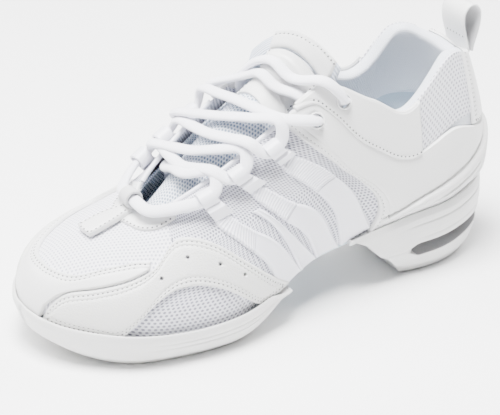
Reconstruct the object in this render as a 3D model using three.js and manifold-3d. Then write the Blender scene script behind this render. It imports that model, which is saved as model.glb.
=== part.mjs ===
// A split-sole dance and cheer trainer, left foot, in millimetres.
// Toe to -Y, heel to +Y, outer (lateral) side to +X, sole on Z = 0.
import * as THREE from 'three';
import { mergeVertices } from 'three/addons/utils/BufferGeometryUtils.js';
import Module from 'manifold-3d';

const wasm = await Module();
wasm.setup();

// ---------------------------------------------------------------- driving sizes
const SHOE_LENGTH = 266;         // toe bumper to heel, EU 38
const SHOE_WIDTH = 101;          // across the ball of the foot
const UPPER_HEIGHT = 107;        // floor to the middle of the collar at the heel

// Walls and clearances are real thicknesses and don't follow the overall size.
const MESH_WALL = 1.2;
const LEATHER_WALL = 1.4;
const STIFFENER_WALL = 1.0;
const LINING_WALL = 1.0;
const COLLAR_PAD = 6.4;
const CUP_WALL = 2.0;
const LAYER_GAP = 0.8;           // between two stacked layers of the upper
const OUTSOLE_WALL = 3.0;
const BOARD_WALL = 1.2;
const SOCK_WALL = 3.0;
const LACE_RADIUS = 2.7;
const LACE_CLEARANCE = 0.7;
const RING_WALL = 1.2;
const RING_LENGTH = 7;
const TONGUE_WALL = 5.0;
const SLOT_HEIGHT = 6.0;         // air slot round the heel unit
const SLOT_DEPTH = 9.0;
const LOOP_BAND = 1.6;           // pull loop strap
const LOOP_WIDTH = 20;
const LOOP_HEIGHT = 22;
const LOOP_DEPTH = 11;

// ---------------------------------------------------------------- layers of the upper
// Distances out from the surface of the last; the mesh's outer face is at 0.
const MESH = { inner: -MESH_WALL, outer: 0 };
const LEATHER = { inner: LAYER_GAP, outer: LAYER_GAP + LEATHER_WALL };
const CUP = { inner: LEATHER.outer + LAYER_GAP, outer: LEATHER.outer + LAYER_GAP + CUP_WALL };
const STIFFENER = { inner: MESH.inner - LAYER_GAP - STIFFENER_WALL, outer: MESH.inner - LAYER_GAP };
const LINING = { inner: STIFFENER.inner - LAYER_GAP - LINING_WALL, outer: STIFFENER.inner - LAYER_GAP };
const PADDING = { inner: -COLLAR_PAD, outer: 0 };

// ---------------------------------------------------------------- the last
// Ribs round the foot from the heel, by the lateral side, to the toe and back.
// Each: featherline point, top edge point, then how far the wall bulges:
// out and up from the featherline, out and up (negative: down) from the top edge.
const BASE_LENGTH = 266;
const BASE_WIDTH = 101;
const BASE_HEIGHT = 107;
const RIBS = [
  [[0, 128, 41], [0, 121, 107], 8, 22, 7, -22],
  [[20, 119, 41], [16, 113, 111], 8, 22, 7, -22],
  [[31, 96, 38], [24, 98, 115], 8, 22, 6, -24],
  [[31, 68, 35], [28, 71, 93], 9, 18, 4, -18],
  [[30, 42, 30], [26, 49, 103], 9, 24, 6, -22],
  [[31, 16, 26], [20, 24, 113], 9, 26, 14, -22],
  [[41, -12, 20], [20, -4, 97], 5, 24, 14, -16],
  [[48, -38, 16], [18, -32, 80], 3, 20, 15, -12],
  [[47, -67, 15], [12, -56, 66], 3, 20, 20, -8],
  [[39, -95, 17], [5, -64, 60], 3, 20, 26, -6],
  [[18, -119, 20], [0, -66, 59], 3, 21, 29, -5],
  [[-8, -126, 23], [-4, -66, 59], 4, 22, 32, -5],
  [[-32, -112, 24], [-7, -65, 59], 4, 22, 29, -5],
  [[-43, -86, 22], [-12, -61, 61], 4, 22, 25, -5],
  [[-45, -56, 20], [-18, -52, 69], 4, 21, 18, -7],
  [[-39, -27, 23], [-24, -30, 84], 4, 22, 10, -12],
  [[-31, 0, 28], [-25, -2, 103], 6, 24, 8, -18],
  [[-27, 28, 33], [-25, 26, 114], 7, 26, 7, -22],
  [[-28, 62, 38], [-27, 70, 95], 8, 18, 5, -16],
  [[-29, 94, 41], [-24, 96, 116], 8, 22, 6, -22],
  [[-19, 118, 42], [-16, 114, 112], 8, 22, 7, -22],
];
// Medial station facing each lateral station 0..11, so both sides share one drawing.
const FACING = [21, 20, 19, 18.15, 17.4, 16.57, 15.55, 14.62, 13.63, 12.65, 11.5, 11];

const ratio = new THREE.Vector3(
  SHOE_WIDTH / BASE_WIDTH, SHOE_LENGTH / BASE_LENGTH, UPPER_HEIGHT / BASE_HEIGHT);
const onSize = (p) => new THREE.Vector3(...p).multiply(ratio);
const ring = (points) => new THREE.CatmullRomCurve3(points, true, 'catmullrom', 0.5);
const count = RIBS.length;

function ribHandles() {
  const feather = RIBS.map((r) => onSize(r[0]));
  const top = RIBS.map((r) => onSize(r[1]));
  const low = [];
  const high = [];
  RIBS.forEach(([, , out1, up1, out2, up2], i) => {
    const along = feather[(i + 1) % count].clone().sub(feather[(i + count - 1) % count]);
    const out = new THREE.Vector3(along.y, -along.x, 0).normalize();
    if (out.dot(feather[i]) < 0) {
      out.negate();
    }
    low.push(feather[i].clone().addScaledVector(out, out1).add(new THREE.Vector3(0, 0, up1)));
    high.push(top[i].clone().addScaledVector(out, out2).add(new THREE.Vector3(0, 0, up2)));
  });
  return [feather, low, high, top].map(ring);
}
const rows = ribHandles();

// A point on the last: u counts ribs round the foot, v runs 0 at the sole to 1 at the top.
function onLast(u, v) {
  const t = (((u % count) + count) % count) / count;
  const w = [(1 - v) ** 3, 3 * v * (1 - v) ** 2, 3 * v * v * (1 - v), v ** 3];
  const p = new THREE.Vector3();
  rows.forEach((row, i) => p.addScaledVector(row.getPoint(t), w[i]));
  return p;
}

function outward(u, v) {
  const step = 0.001;
  const du = onLast(u + step, v).sub(onLast(u - step, v));
  const dv = onLast(u, v + step).sub(onLast(u, v - step));
  return dv.cross(du).normalize();
}
const skin = (u, v, offset) => onLast(u, v).addScaledVector(outward(u, v), offset);

// The medial twin of a lateral (u, v) drawing.
function facing(u) {
  if (u < 0) {
    return -u;
  }
  const i = Math.min(Math.floor(u), FACING.length - 2);
  return THREE.MathUtils.lerp(FACING[i], FACING[i + 1], u - i);
}
const medialOf = (edge) => edge.map(([u, v]) => [facing(u), v]);

// ---------------------------------------------------------------- solids
const group = new THREE.Group();
const LOOKS = {
  leather: [0xf1f1ee, 0.5], grain: [0xeeeeea, 0.6], mesh: [0xe6e6ef, 0.85], web: [0xe9e8f0, 0.8],
  film: [0xefeef4, 0.4], lace: [0xf2f1f8, 0.9], lining: [0xc9d2dd, 0.9], foam: [0xdfe2e8, 0.95],
  midsole: [0xf0f0ee, 0.45], rubber: [0xdedfdf, 0.7], board: [0xcfc9bd, 0.9], stiff: [0xd8d8d4, 0.6],
};

function add(name, geometry, look) {
  const [color, roughness] = LOOKS[look];
  const finish = new THREE.MeshStandardMaterial({ color, roughness, metalness: 0 });
  const mesh = new THREE.Mesh(geometry, finish);
  mesh.name = name;
  group.add(mesh);
  return mesh;
}

// A closed geometry from points and triangles, turned so that its faces point out.
function closed(points, triangles) {
  let volume = 0;
  const whole = triangles.filter(([a, b, c]) => a !== b && b !== c && a !== c);
  whole.forEach(([a, b, c]) => {
    volume += points[a].dot(points[b].clone().cross(points[c]));
  });
  const index = whole.flatMap(([a, b, c]) => (volume < 0 ? [a, c, b] : [a, b, c]));
  const geometry = new THREE.BufferGeometry();
  const numbers = points.flatMap((p) => p.toArray());
  geometry.setAttribute('position', new THREE.Float32BufferAttribute(numbers, 3));
  geometry.setIndex(index);
  return geometry;
}

function toManifold(geometry) {
  const bare = geometry.clone();
  bare.deleteAttribute('normal');
  bare.deleteAttribute('uv');
  const merged = mergeVertices(bare, 1e-4);
  return new wasm.Manifold(new wasm.Mesh({
    numProp: 3,
    vertProperties: new Float32Array(merged.attributes.position.array),
    triVerts: new Uint32Array(merged.index.array),
  }));
}

function fromManifold(solid) {
  const mesh = solid.getMesh();
  const geometry = new THREE.BufferGeometry();
  geometry.setAttribute('position', new THREE.Float32BufferAttribute(mesh.vertProperties, 3));
  geometry.setIndex([...mesh.triVerts]);
  return geometry;
}

// Grid of points (rows x columns) on an outer and an inner sheet, closed round its rim.
function slab(outer, inner) {
  const m = outer.length;
  const n = outer[0].length;
  const points = [...outer.flat(), ...inner.flat()];
  const at = (i, j, side) => side * m * n + i * n + j;
  const triangles = [];
  const quad = (a, b, c, d) => triangles.push([a, b, c], [a, c, d]);
  for (let i = 0; i < m - 1; i += 1) {
    for (let j = 0; j < n - 1; j += 1) {
      quad(at(i, j, 0), at(i, j + 1, 0), at(i + 1, j + 1, 0), at(i + 1, j, 0));
      quad(at(i, j, 1), at(i + 1, j, 1), at(i + 1, j + 1, 1), at(i, j + 1, 1));
    }
  }
  for (let j = 0; j < n - 1; j += 1) {
    quad(at(0, j, 0), at(0, j, 1), at(0, j + 1, 1), at(0, j + 1, 0));
    quad(at(m - 1, j, 0), at(m - 1, j + 1, 0), at(m - 1, j + 1, 1), at(m - 1, j, 1));
  }
  for (let i = 0; i < m - 1; i += 1) {
    quad(at(i, 0, 0), at(i + 1, 0, 0), at(i + 1, 0, 1), at(i, 0, 1));
    quad(at(i, n - 1, 0), at(i, n - 1, 1), at(i + 1, n - 1, 1), at(i + 1, n - 1, 0));
  }
  return closed(points, triangles);
}

// A panel of the upper: four edges drawn in (u, v), blended between and given a wall.
const spline = (edge) => new THREE.SplineCurve(edge.map(([u, v]) => new THREE.Vector2(u, v)));
function panel(bottom, top, layer, along, across, ends = {}) {
  const low = spline(bottom);
  const high = spline(top);
  const straight = (a, b) => ({ getPoint: (t) => a.clone().lerp(b, t) });
  const start = ends.start ? spline(ends.start) : straight(low.getPoint(0), high.getPoint(0));
  const finish = ends.finish ? spline(ends.finish) : straight(low.getPoint(1), high.getPoint(1));
  const blend = (s, t) => {
    const p = low.getPoint(s).multiplyScalar(1 - t).addScaledVector(high.getPoint(s), t);
    p.addScaledVector(start.getPoint(t), 1 - s).addScaledVector(finish.getPoint(t), s);
    p.addScaledVector(low.getPoint(0), -(1 - s) * (1 - t)).addScaledVector(low.getPoint(1), -s * (1 - t));
    return p.addScaledVector(high.getPoint(0), -(1 - s) * t).addScaledVector(high.getPoint(1), -s * t);
  };
  const sheet = (offset) => Array.from({ length: along + 1 }, (_, i) => (
    Array.from({ length: across + 1 }, (__, j) => {
      const p = blend(i / along, j / across);
      return skin(p.x, p.y, offset);
    })));
  return slab(sheet(layer.outer), sheet(layer.inner));
}

// Both sides of the shoe get the same panel, drawn once on the lateral side.
function pair(name, bottom, top, layer, along, across, look, ends = {}) {
  add(`lateral_${name}`, panel(bottom, top, layer, along, across, ends), look);
  const turned = {};
  Object.entries(ends).forEach(([key, edge]) => {
    turned[key] = medialOf(edge);
  });
  add(`medial_${name}`, panel(medialOf(bottom), medialOf(top), layer, along, across, turned), look);
}

const level = (v, ...stations) => stations.map((u) => [u, v]);

// ---------------------------------------------------------------- where the shoe bends
// The quarter's front edge is the line between the rearfoot and the forefoot.
const QUARTER_FRONT = [
  [3.8, 0], [3.7, 0.1], [3.66, 0.2], [3.74, 0.29], [3.95, 0.38],
  [4.3, 0.46], [4.76, 0.53], [5.22, 0.65], [5.6, 0.81], [5.86, 1],
];
const STATION_GAP = 0.05;        // between two panels edge to edge, about 0.6 mm
const shifted = (edge, du, dv) => edge.map(([u, v]) => [u + du, v + dv]);
const MESH_REAR = shifted(QUARTER_FRONT, STATION_GAP, 0);
const SPLIT = 8.2;               // station where the vamp meets the side mesh

// ---------------------------------------------------------------- mesh and linings
add('vamp_mesh', panel(
  level(0, SPLIT + STATION_GAP, 9, 9.6, 10.2, 10.7, 11.1, 11.6, 12.3, facing(SPLIT) - STATION_GAP),
  level(1, SPLIT + STATION_GAP, 9, 9.6, 10.2, 10.7, 11.1, 11.6, 12.3, facing(SPLIT) - STATION_GAP),
  MESH, 24, 8), 'mesh');
pair('side_mesh', level(0, SPLIT, 7, 6, 5, 3.85), level(1, SPLIT, 7.6, 7, 6.4, 5.91),
  MESH, 14, 8, 'mesh', { start: [[SPLIT, 0], [SPLIT, 1]], finish: MESH_REAR });
add('toe_puff', panel(
  level(0.04, 9.3, 10, 10.6, 11, 11.5, 12.3),
  [[9.3, 0.42], [10, 0.38], [10.6, 0.36], [11, 0.36], [11.5, 0.38], [12.3, 0.42]],
  STIFFENER, 12, 4), 'stiff');
add('vamp_lining', panel(
  level(0.03, SPLIT + STATION_GAP, 9, 10, 10.6, 11, 11.5, 12.3, facing(SPLIT) - STATION_GAP),
  level(0.78, SPLIT + STATION_GAP, 9, 10, 10.6, 11, 11.5, 12.3, facing(SPLIT) - STATION_GAP),
  LINING, 18, 6), 'lining');
pair('side_lining', level(0.03, SPLIT, 7, 6, 5, 4.1), level(0.72, SPLIT, 7.3, 6.6, 5.9, 5.3),
  LINING, 10, 5, 'lining', { finish: [[4.1, 0.03], [4.0, 0.25], [4.6, 0.48], [5.3, 0.72]] });

// ---------------------------------------------------------------- leather of the forefoot
// The grained overlay's upper edge; the toe cap stops just above it.
const OVERLAY_TOP = [
  [10.3, 0.03], [10.05, 0.27], [9.58, 0.37], [9.1, 0.455], [8.6, 0.55], [8.3, 0.66],
  [8.05, 0.71], [7.75, 0.68], [7.4, 0.58], [7, 0.43], [6.5, 0.25], [6.1, 0.12], [5.8, 0.03],
];
// Its lower edge runs along the sole and arches over a window of bare mesh.
const OVERLAY_LOW = [
  [10.36, 0], [9.9, 0], [9.5, 0], [9.1, 0], [8.86, 0.12], [8.55, 0.28],
  [8.2, 0.36], [7.8, 0.36], [7.35, 0.28], [6.95, 0.16], [6.5, 0.01], [6.1, 0], [5.75, 0],
];
pair('overlay', OVERLAY_LOW, OVERLAY_TOP, LEATHER, 24, 4, 'grain');

const CAP_GAP_V = 0.016;
const capLow = [
  [8.72, 0.53], [9.1, 0.455], [9.58, 0.37], [10.05, 0.27], [10.3, 0.12], [10.46, 0],
];
const capHigh = [[8.72, 0.6], [9.1, 0.6], [9.6, 0.54], [10.08, 0.43], [10.6, 0.4], [10.8, 0.4]];
const acrossToe = (edge) => [...edge, ...medialOf(edge).reverse()];
add('toe_cap', panel(
  acrossToe([...shifted(capLow.slice(0, -1), 0, CAP_GAP_V), [10.46, 0]]),
  acrossToe(capHigh), LEATHER, 24, 4), 'leather');

// Trim round the foot of the throat, and the leather tab that holds the first lace bar.
const TRIM_FROM = 7.95;
const trimLow = [[TRIM_FROM, 0.86], [8.6, 0.84], [9.4, 0.86], [10.2, 0.88], [10.8, 0.88]];
add('throat_trim', panel(acrossToe(trimLow),
  acrossToe(trimLow.map(([u]) => [u, 0.985])), LEATHER, 16, 2), 'leather');
const TAB = { inner: LEATHER.outer + LAYER_GAP, outer: LEATHER.outer + LAYER_GAP + LEATHER_WALL };
const tabPanel = () => panel(
  [[10.62, 0.62], [10.52, 0.72], [10.42, 0.86], [10.4, 0.965]],
  [[11.02, 0.62], [11.1, 0.72], [11.3, 0.86], [11.34, 0.965]], TAB, 6, 3);

// ---------------------------------------------------------------- straps and lace loops
const STRAPS = {
  strap_front: [[[7.28, 0.645], [6.76, 0.43], [6.2, 0.24], [5.62, 0.03]],
    [[7.04, 0.68], [6.72, 0.54], [6.08, 0.32], [5.35, 0.07]]],
  strap_brace: [[[6.66, 0.62], [6.35, 0.5], [5.95, 0.34], [5.42, 0.13]],
    [[6.5, 0.61], [6.05, 0.42], [5.6, 0.25], [5.12, 0.1]]],
  strap_middle: [[[6.55, 0.665], [6.1, 0.47], [5.48, 0.28], [4.75, 0.05]],
    [[6.42, 0.72], [5.88, 0.52], [5.2, 0.34], [4.42, 0.12]]],
  strap_rear: [[[5.98, 0.7], [5.44, 0.5], [4.78, 0.31], [4.14, 0.1]],
    [[5.78, 0.74], [5.0, 0.52], [4.44, 0.4], [3.86, 0.25]]],
};
Object.entries(STRAPS).forEach(([name, [low, high]]) => {
  pair(name, low, high, LEATHER, 10, 2, name === 'strap_brace' ? 'film' : 'web');
});

// Each moulded loop: the middle of its ring, then the two corners where the strap joins.
const RINGS = [
  { at: [7.34, 0.85], low: [7.25, 0.68], high: [7.05, 0.71] },
  { at: [6.76, 0.87], low: [6.56, 0.7], high: [6.42, 0.75] },
  { at: [6.12, 0.87], low: [5.98, 0.735], high: [5.8, 0.775] },
];
const RING_BORE = LACE_RADIUS + LACE_CLEARANCE + 0.2;
const RING_RADIUS = RING_BORE + RING_WALL;
const RING_RISE = LAYER_GAP + RING_RADIUS;
const SIDES = [
  { name: 'lateral', turn: (p) => p },
  { name: 'medial', turn: ([u, v]) => [facing(u), v] },
];

// Middle and direction of a ring; the lace passes through it towards the ankle.
function ringFrame(spot, side) {
  const [u, v] = side.turn(spot);
  const centre = skin(u, v, RING_RISE);
  const back = skin(...side.turn([spot[0] - 0.08, v]), RING_RISE).sub(centre).normalize();
  return { centre, back };
}

const turnTo = (direction) => new THREE.Quaternion()
  .setFromUnitVectors(new THREE.Vector3(0, 1, 0), direction);

function rod(centre, direction, radius, length) {
  const geometry = new THREE.CylinderGeometry(radius, radius, length, 14);
  geometry.applyQuaternion(turnTo(direction));
  geometry.translate(...centre.toArray());
  return toManifold(geometry);
}

function laceLoop(loop, side) {
  const { centre, back } = ringFrame(loop.at, side);
  const half = 0.075;
  const tab = panel(
    [[loop.at[0] + half, loop.at[1] - 0.03], loop.low].map(side.turn),
    [[loop.at[0] - half, loop.at[1] - 0.01], loop.high].map(side.turn),
    { inner: LEATHER.inner, outer: LEATHER.outer + 1 }, 3, 2);
  const body = toManifold(tab).add(rod(centre, back, RING_RADIUS, RING_LENGTH));
  return fromManifold(body.subtract(rod(centre, back, RING_BORE, 3 * RING_LENGTH)));
}
RINGS.forEach((loop, i) => {
  SIDES.forEach((side) => {
    add(`${side.name}_lace_loop_${i + 1}`, laceLoop(loop, side), 'film');
  });
});

// ---------------------------------------------------------------- tongue
// Rows up the tongue's middle: y, z of the crown, half width, drop at the edges, skew.
// The skew carries the outer edge back towards the ankle.
const TONGUE_ROWS = [
  [-60, 55, 11, 5, 0], [-48, 66.5, 14.5, 10, 0], [-34, 80, 18, 14, 0], [-18, 93.5, 22, 18, 0.1],
  [-4, 104, 22, 21, 0.2], [8, 113.5, 15.2, 18, 0.35], [18, 124.5, 19, 17, 0.55],
];
const FLAP_ROWS = [[18.9, 125.7, 20, 18, 0.55], [21.5, 130, 21, 16, 0.6], [24, 134, 20.5, 14, 0.65]];
const TONGUE_MIDDLE = -3;        // the tongue sits a little to the inner side

function tonguePoint(row, a, depth) {
  const [y, z, half, drop, skew] = row;
  const p = onSize([TONGUE_MIDDLE + a * half, y + skew * a * half, z - drop * a * a]);
  const down = new THREE.Vector3(0.55 * a, -0.62, 0.79).normalize();
  return p.addScaledVector(down, -depth);
}
function tongueSlab(list, top, bottom, across, reach = 1) {
  const sheet = (depth) => list.map((row) => (
    Array.from({ length: across + 1 }, (_, j) => tonguePoint(row, reach * (2 * j / across - 1), depth))));
  return slab(sheet(top), sheet(bottom));
}
add('tongue_pad', tongueSlab(TONGUE_ROWS, 0, TONGUE_WALL, 8), 'mesh');
add('tongue_flap', tongueSlab(FLAP_ROWS, 0, TONGUE_WALL, 8), 'mesh');
add('tongue_patch', tongueSlab(FLAP_ROWS, -LAYER_GAP - LEATHER_WALL, -LAYER_GAP, 8, 0.9), 'leather');

// ---------------------------------------------------------------- leather of the rearfoot
// The seam that parts the lower quarter from the eyestay and collar panels.
const SEAM_FRONT = [[5.2, 0.93], [4.96, 0.85], [4.6, 0.76], [4.26, 0.71], [3.5, 0.64], [2.75, 0.58]];
const QUARTER_SEAM = [
  [5.86, 1], [5.5, 0.975], ...SEAM_FRONT, [2.1, 0.55], [1.4, 0.48], [0.7, 0.46], [0.03, 0.46],
];
const SEAM_GAP_V = 0.014;
const eyestayLow = shifted([[5.55, 0.975], ...SEAM_FRONT], 0, SEAM_GAP_V);
const eyestayHigh = level(1, 5.55, 5.2, 4.96, 4.6, 4.26, 3.5, 2.75);

// The lace goes through two punched eyelets on each side: one in the quarter, one in the eyestay.
const EYELETS = [[5.25, 0.83], [4.64, 0.91]];
const EYELET_WALL = 1.1;
const EYELET_FLANGE = 0.9;
const EYELET_BORE = LACE_RADIUS + LACE_CLEARANCE;
const HOLE_RADIUS = EYELET_BORE + EYELET_WALL + 0.4;

function punched(sheet, spot, side) {
  const [u, v] = side.turn(spot);
  return fromManifold(toManifold(sheet).subtract(rod(skin(u, v, 0), outward(u, v), HOLE_RADIUS, 20)));
}

function eyelet(spot, side) {
  const [u, v] = side.turn(spot);
  const profile = [
    [EYELET_BORE, LEATHER.inner], [EYELET_BORE + EYELET_WALL, LEATHER.inner],
    [EYELET_BORE + EYELET_WALL, LEATHER.outer + EYELET_FLANGE],
    [EYELET_BORE, LEATHER.outer + EYELET_FLANGE], [EYELET_BORE, LEATHER.inner],
  ].map(([r, h]) => new THREE.Vector2(r, h));
  const geometry = new THREE.LatheGeometry(profile, 12);
  geometry.applyQuaternion(turnTo(outward(u, v)));
  geometry.translate(...onLast(u, v).toArray());
  return fromManifold(toManifold(geometry));
}

const QUARTER_LOW = level(0, 3.8, 3.4, 3.1, 2.8, 2.5, 2.2, 1.9, 1.6, 1.2, 0.8, 0.4, 0.03);
SIDES.forEach((side) => {
  const turned = (edge) => edge.map(side.turn);
  const quarter = panel(turned(QUARTER_LOW), turned(QUARTER_SEAM), LEATHER, 22, 6,
    { start: turned(QUARTER_FRONT) });
  add(`${side.name}_quarter`, punched(quarter, EYELETS[0], side), 'leather');
  const eyestay = panel(turned(eyestayLow), turned(eyestayHigh), LEATHER, 14, 3);
  add(`${side.name}_eyestay`, punched(eyestay, EYELETS[1], side), 'leather');
  EYELETS.forEach((spot, i) => {
    add(`${side.name}_eyelet_${i + 1}`, eyelet(spot, side), 'stiff');
  });
});
pair('collar_mesh', level(0.585, 2.69, 2.3, 1.9, 1.5), level(1, 2.69, 2.3, 1.9, 1.5),
  LEATHER, 6, 5, 'mesh');
add('heel_tab', panel(level(0.5, 1.43, 0.8, 0, -0.5, -0.98), level(1, 1.43, 0.8, 0, -0.5, -0.98),
  LEATHER, 12, 5), 'leather');

// Moulded cup that rises behind the heel in steps, and the stiffener and lining behind it.
const CUP_FOOT = 0.09;
const CUP_TOP = [
  [3.4, 0.11], [3.1, 0.14], [2.7, 0.18], [2.2, 0.2], [1.6, 0.24], [1, 0.33], [0.5, 0.43], [0, 0.45]];
const roundHeel = (edge) => [
  ...edge,
  ...medialOf(edge.slice(0, -1)).map(([u, v]) => [u - count, v]).reverse(),
];
const cupLow = CUP_TOP.map(([u]) => [u, CUP_FOOT]);
add('heel_cup', panel(roundHeel(cupLow), roundHeel(CUP_TOP), CUP, 30, 3), 'midsole');
const counterTop = [[3.2, 0.2], [2.6, 0.32], [1.8, 0.4], [1, 0.42], [0, 0.42]];
add('heel_counter', panel(roundHeel(counterTop.map(([u]) => [u, 0.02])), roundHeel(counterTop),
  STIFFENER, 22, 3), 'stiff');
const liningTop = [[3.4, 0.42], [2.6, 0.42], [1.8, 0.42], [1, 0.42], [0, 0.42]];
add('heel_lining', panel(roundHeel(liningTop.map(([u]) => [u, 0.03])), roundHeel(liningTop),
  LINING, 22, 3), 'lining');
pair('collar_pad', [[4.3, 0.66], [3.6, 0.5], [2.8, 0.46], [2, 0.46], [1, 0.46], [0.04, 0.46]],
  level(0.985, 4.3, 3.6, 2.8, 2, 1, 0.04), PADDING, 16, 4, 'foam');

// ---------------------------------------------------------------- sole, boards and sockliner
const LATERAL = 1;
const MEDIAL = -1;

// Featherline point at distance y along the shoe, on one side, moved out by reach.
function feather(side, y, reach, dz) {
  let low = side === LATERAL ? 0 : facing(11);
  let high = side === LATERAL ? 11 : count;
  for (let i = 0; i < 30; i += 1) {
    const middle = (low + high) / 2;
    const beyond = onLast(middle, 0).y > y;
    if (beyond === (side === LATERAL)) {
      low = middle;
    } else {
      high = middle;
    }
  }
  const p = onLast((low + high) / 2, 0);
  const out = outward((low + high) / 2, 0).setZ(0).normalize();
  return p.addScaledVector(out, reach).add(new THREE.Vector3(0, 0, dz));
}

// A closed ring of 2n points, lateral then medial, so that i faces 2n - 1 - i.
function outline(ys, reach, height) {
  const sideRow = (side) => ys.map((y) => {
    const p = feather(side, y, typeof reach === 'function' ? reach(y, side) : reach, 0);
    p.z = height(p.z, y);
    return p;
  });
  return [...sideRow(LATERAL), ...sideRow(MEDIAL).reverse()];
}

function hull(rings) {
  const n = rings[0].length;
  const points = rings.flat();
  const triangles = [];
  const quad = (a, b, c, d) => triangles.push([a, b, c], [a, c, d]);
  for (let k = 0; k < rings.length - 1; k += 1) {
    for (let i = 0; i < n; i += 1) {
      const j = (i + 1) % n;
      quad(k * n + i, k * n + j, (k + 1) * n + j, (k + 1) * n + i);
    }
  }
  const top = (rings.length - 1) * n;
  for (let i = 0; i < n / 2 - 1; i += 1) {
    quad(n - 1 - i, n - 2 - i, i + 1, i);
    quad(top + i, top + i + 1, top + n - 2 - i, top + n - 1 - i);
  }
  return closed(points, triangles);
}

// Distances along the shoe, packed closer towards the far end of the sole.
function spread(from, to, steps) {
  const part = (i) => Math.sin((i / steps) * Math.PI / 2);
  return Array.from({ length: steps + 1 }, (_, i) => from + (to - from) * part(i));
}
const TOE_Y = -126.2 * ratio.y;
const HEEL_Y = 127.8 * ratio.y;
const FORE_END = -6 * ratio.y;           // rear edge of the forefoot sole
const SEAT_DROP = 1.9;                   // seat of the upper below the featherline
const LIP_REACH = LEATHER.outer + LAYER_GAP;
const LIP_WALL = 1.6;
const LIP_RISE = 3.0;
const mix = THREE.MathUtils.lerp;

// The sole's underside rolls up at the toe and sweeps up to a thin edge under the arch.
const SWEEP_FROM = -42 * ratio.y;
const foreFloor = (y) => {
  const toe = Math.max(0, (-88 * ratio.y - y) / 40) ** 2 * 9;
  const rear = Math.max(0, (y - SWEEP_FROM) / (FORE_END - SWEEP_FROM)) ** 2 * 14;
  return toe + rear;
};
// Towards that edge the lip sinks to the level of the seat.
const rise = (z, y, above, left = 0) => {
  const sink = THREE.MathUtils.smoothstep(y, FORE_END - 16, FORE_END - 2);
  return z + mix(above, -SEAT_DROP - left, sink);
};
const foreRing = (reach, height, back = 0) => (
  outline(spread(FORE_END - back, TOE_Y, 15), reach, height));
add('forefoot_outsole', hull([
  foreRing(-5, (z, y) => foreFloor(y), 6),
  foreRing(-1.6, (z, y) => foreFloor(y) + OUTSOLE_WALL, 3.5),
]), 'rubber');
add('forefoot_midsole', hull([
  foreRing(-1.2, (z, y) => foreFloor(y) + OUTSOLE_WALL + 0.4, 2.5),
  foreRing(LIP_REACH - 0.4, (z, y) => mix(foreFloor(y) + OUTSOLE_WALL, z, 0.4), 1.2),
  foreRing(LIP_REACH + LIP_WALL, (z, y) => rise(z, y, -0.5, 1)),
  foreRing(LIP_REACH + LIP_WALL - 0.4, (z, y) => rise(z, y, LIP_RISE - 0.6, 0.5), 0.3),
  foreRing(LIP_REACH + 0.7, (z, y) => rise(z, y, LIP_RISE, 0.2), 0.7),
  foreRing(LIP_REACH, (z, y) => rise(z, y, LIP_RISE - 1, 0.1), 1.1),
  foreRing(LIP_REACH, (z, y) => rise(z, y, -SEAT_DROP), 1.5),
]), 'midsole');

// The heel unit's front face slopes back from the arch down to the floor.
const HEEL_TOP_Y = 36 * ratio.y;
const HEEL_LOW_Y = 70 * ratio.y;
const HEEL_LIP = LIP_REACH + 0.4;
const SLOT_LEVEL = 15.5;
const SLOT_FROM = 74 * ratio.y;
const slotDepth = (y) => SLOT_DEPTH * THREE.MathUtils.smoothstep(y, SLOT_FROM, SLOT_FROM + 10);
const slotOpen = (y) => THREE.MathUtils.smoothstep(y, SLOT_FROM - 4, SLOT_FROM + 9);
const slotHalf = (y) => 0.15 + (SLOT_HEIGHT / 2) * slotOpen(y);
const heelFloor = (y) => Math.max(0, (HEEL_LOW_Y + 10 - y) / 10) ** 2 * 1.2
  + Math.max(0, (y - 112 * ratio.y) / 18) ** 2 * 3;
const frontAt = (share) => mix(HEEL_LOW_Y, HEEL_TOP_Y, share);
const heelRing = (share, reach, height) => outline(spread(frontAt(share), HEEL_Y, 15), reach, height);
add('heel_outsole', hull([
  heelRing(0, -3, (z, y) => heelFloor(y)),
  heelRing(0.08, -0.8, (z, y) => heelFloor(y) + OUTSOLE_WALL),
]), 'rubber');
add('heel_midsole', hull([
  heelRing(0.09, -0.4, (z, y) => heelFloor(y) + OUTSOLE_WALL + 0.4),
  heelRing(0.25, 2.6, (z, y) => mix(heelFloor(y) + OUTSOLE_WALL, SLOT_LEVEL, 0.55)),
  heelRing(0.35, 4.2, (z, y) => SLOT_LEVEL - slotHalf(y) + 0.2),
  heelRing(0.38, (y) => 3.6 - slotDepth(y), (z, y) => SLOT_LEVEL - slotHalf(y) + 0.8),
  heelRing(0.45, (y) => 3.6 - slotDepth(y), (z, y) => SLOT_LEVEL + slotHalf(y) + 1.8),
  heelRing(0.5, 4.8, (z, y) => SLOT_LEVEL + slotHalf(y) + 2.6),
  heelRing(0.75, 5.6, (z) => z - 10),
  heelRing(0.9, 5.4, (z) => z - 2),
  heelRing(1, 4.4, (z) => z + 1.6),
  heelRing(1, HEEL_LIP, (z) => z + 1.2),
  heelRing(1, HEEL_LIP, (z) => z - SEAT_DROP),
]), 'midsole');

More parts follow.
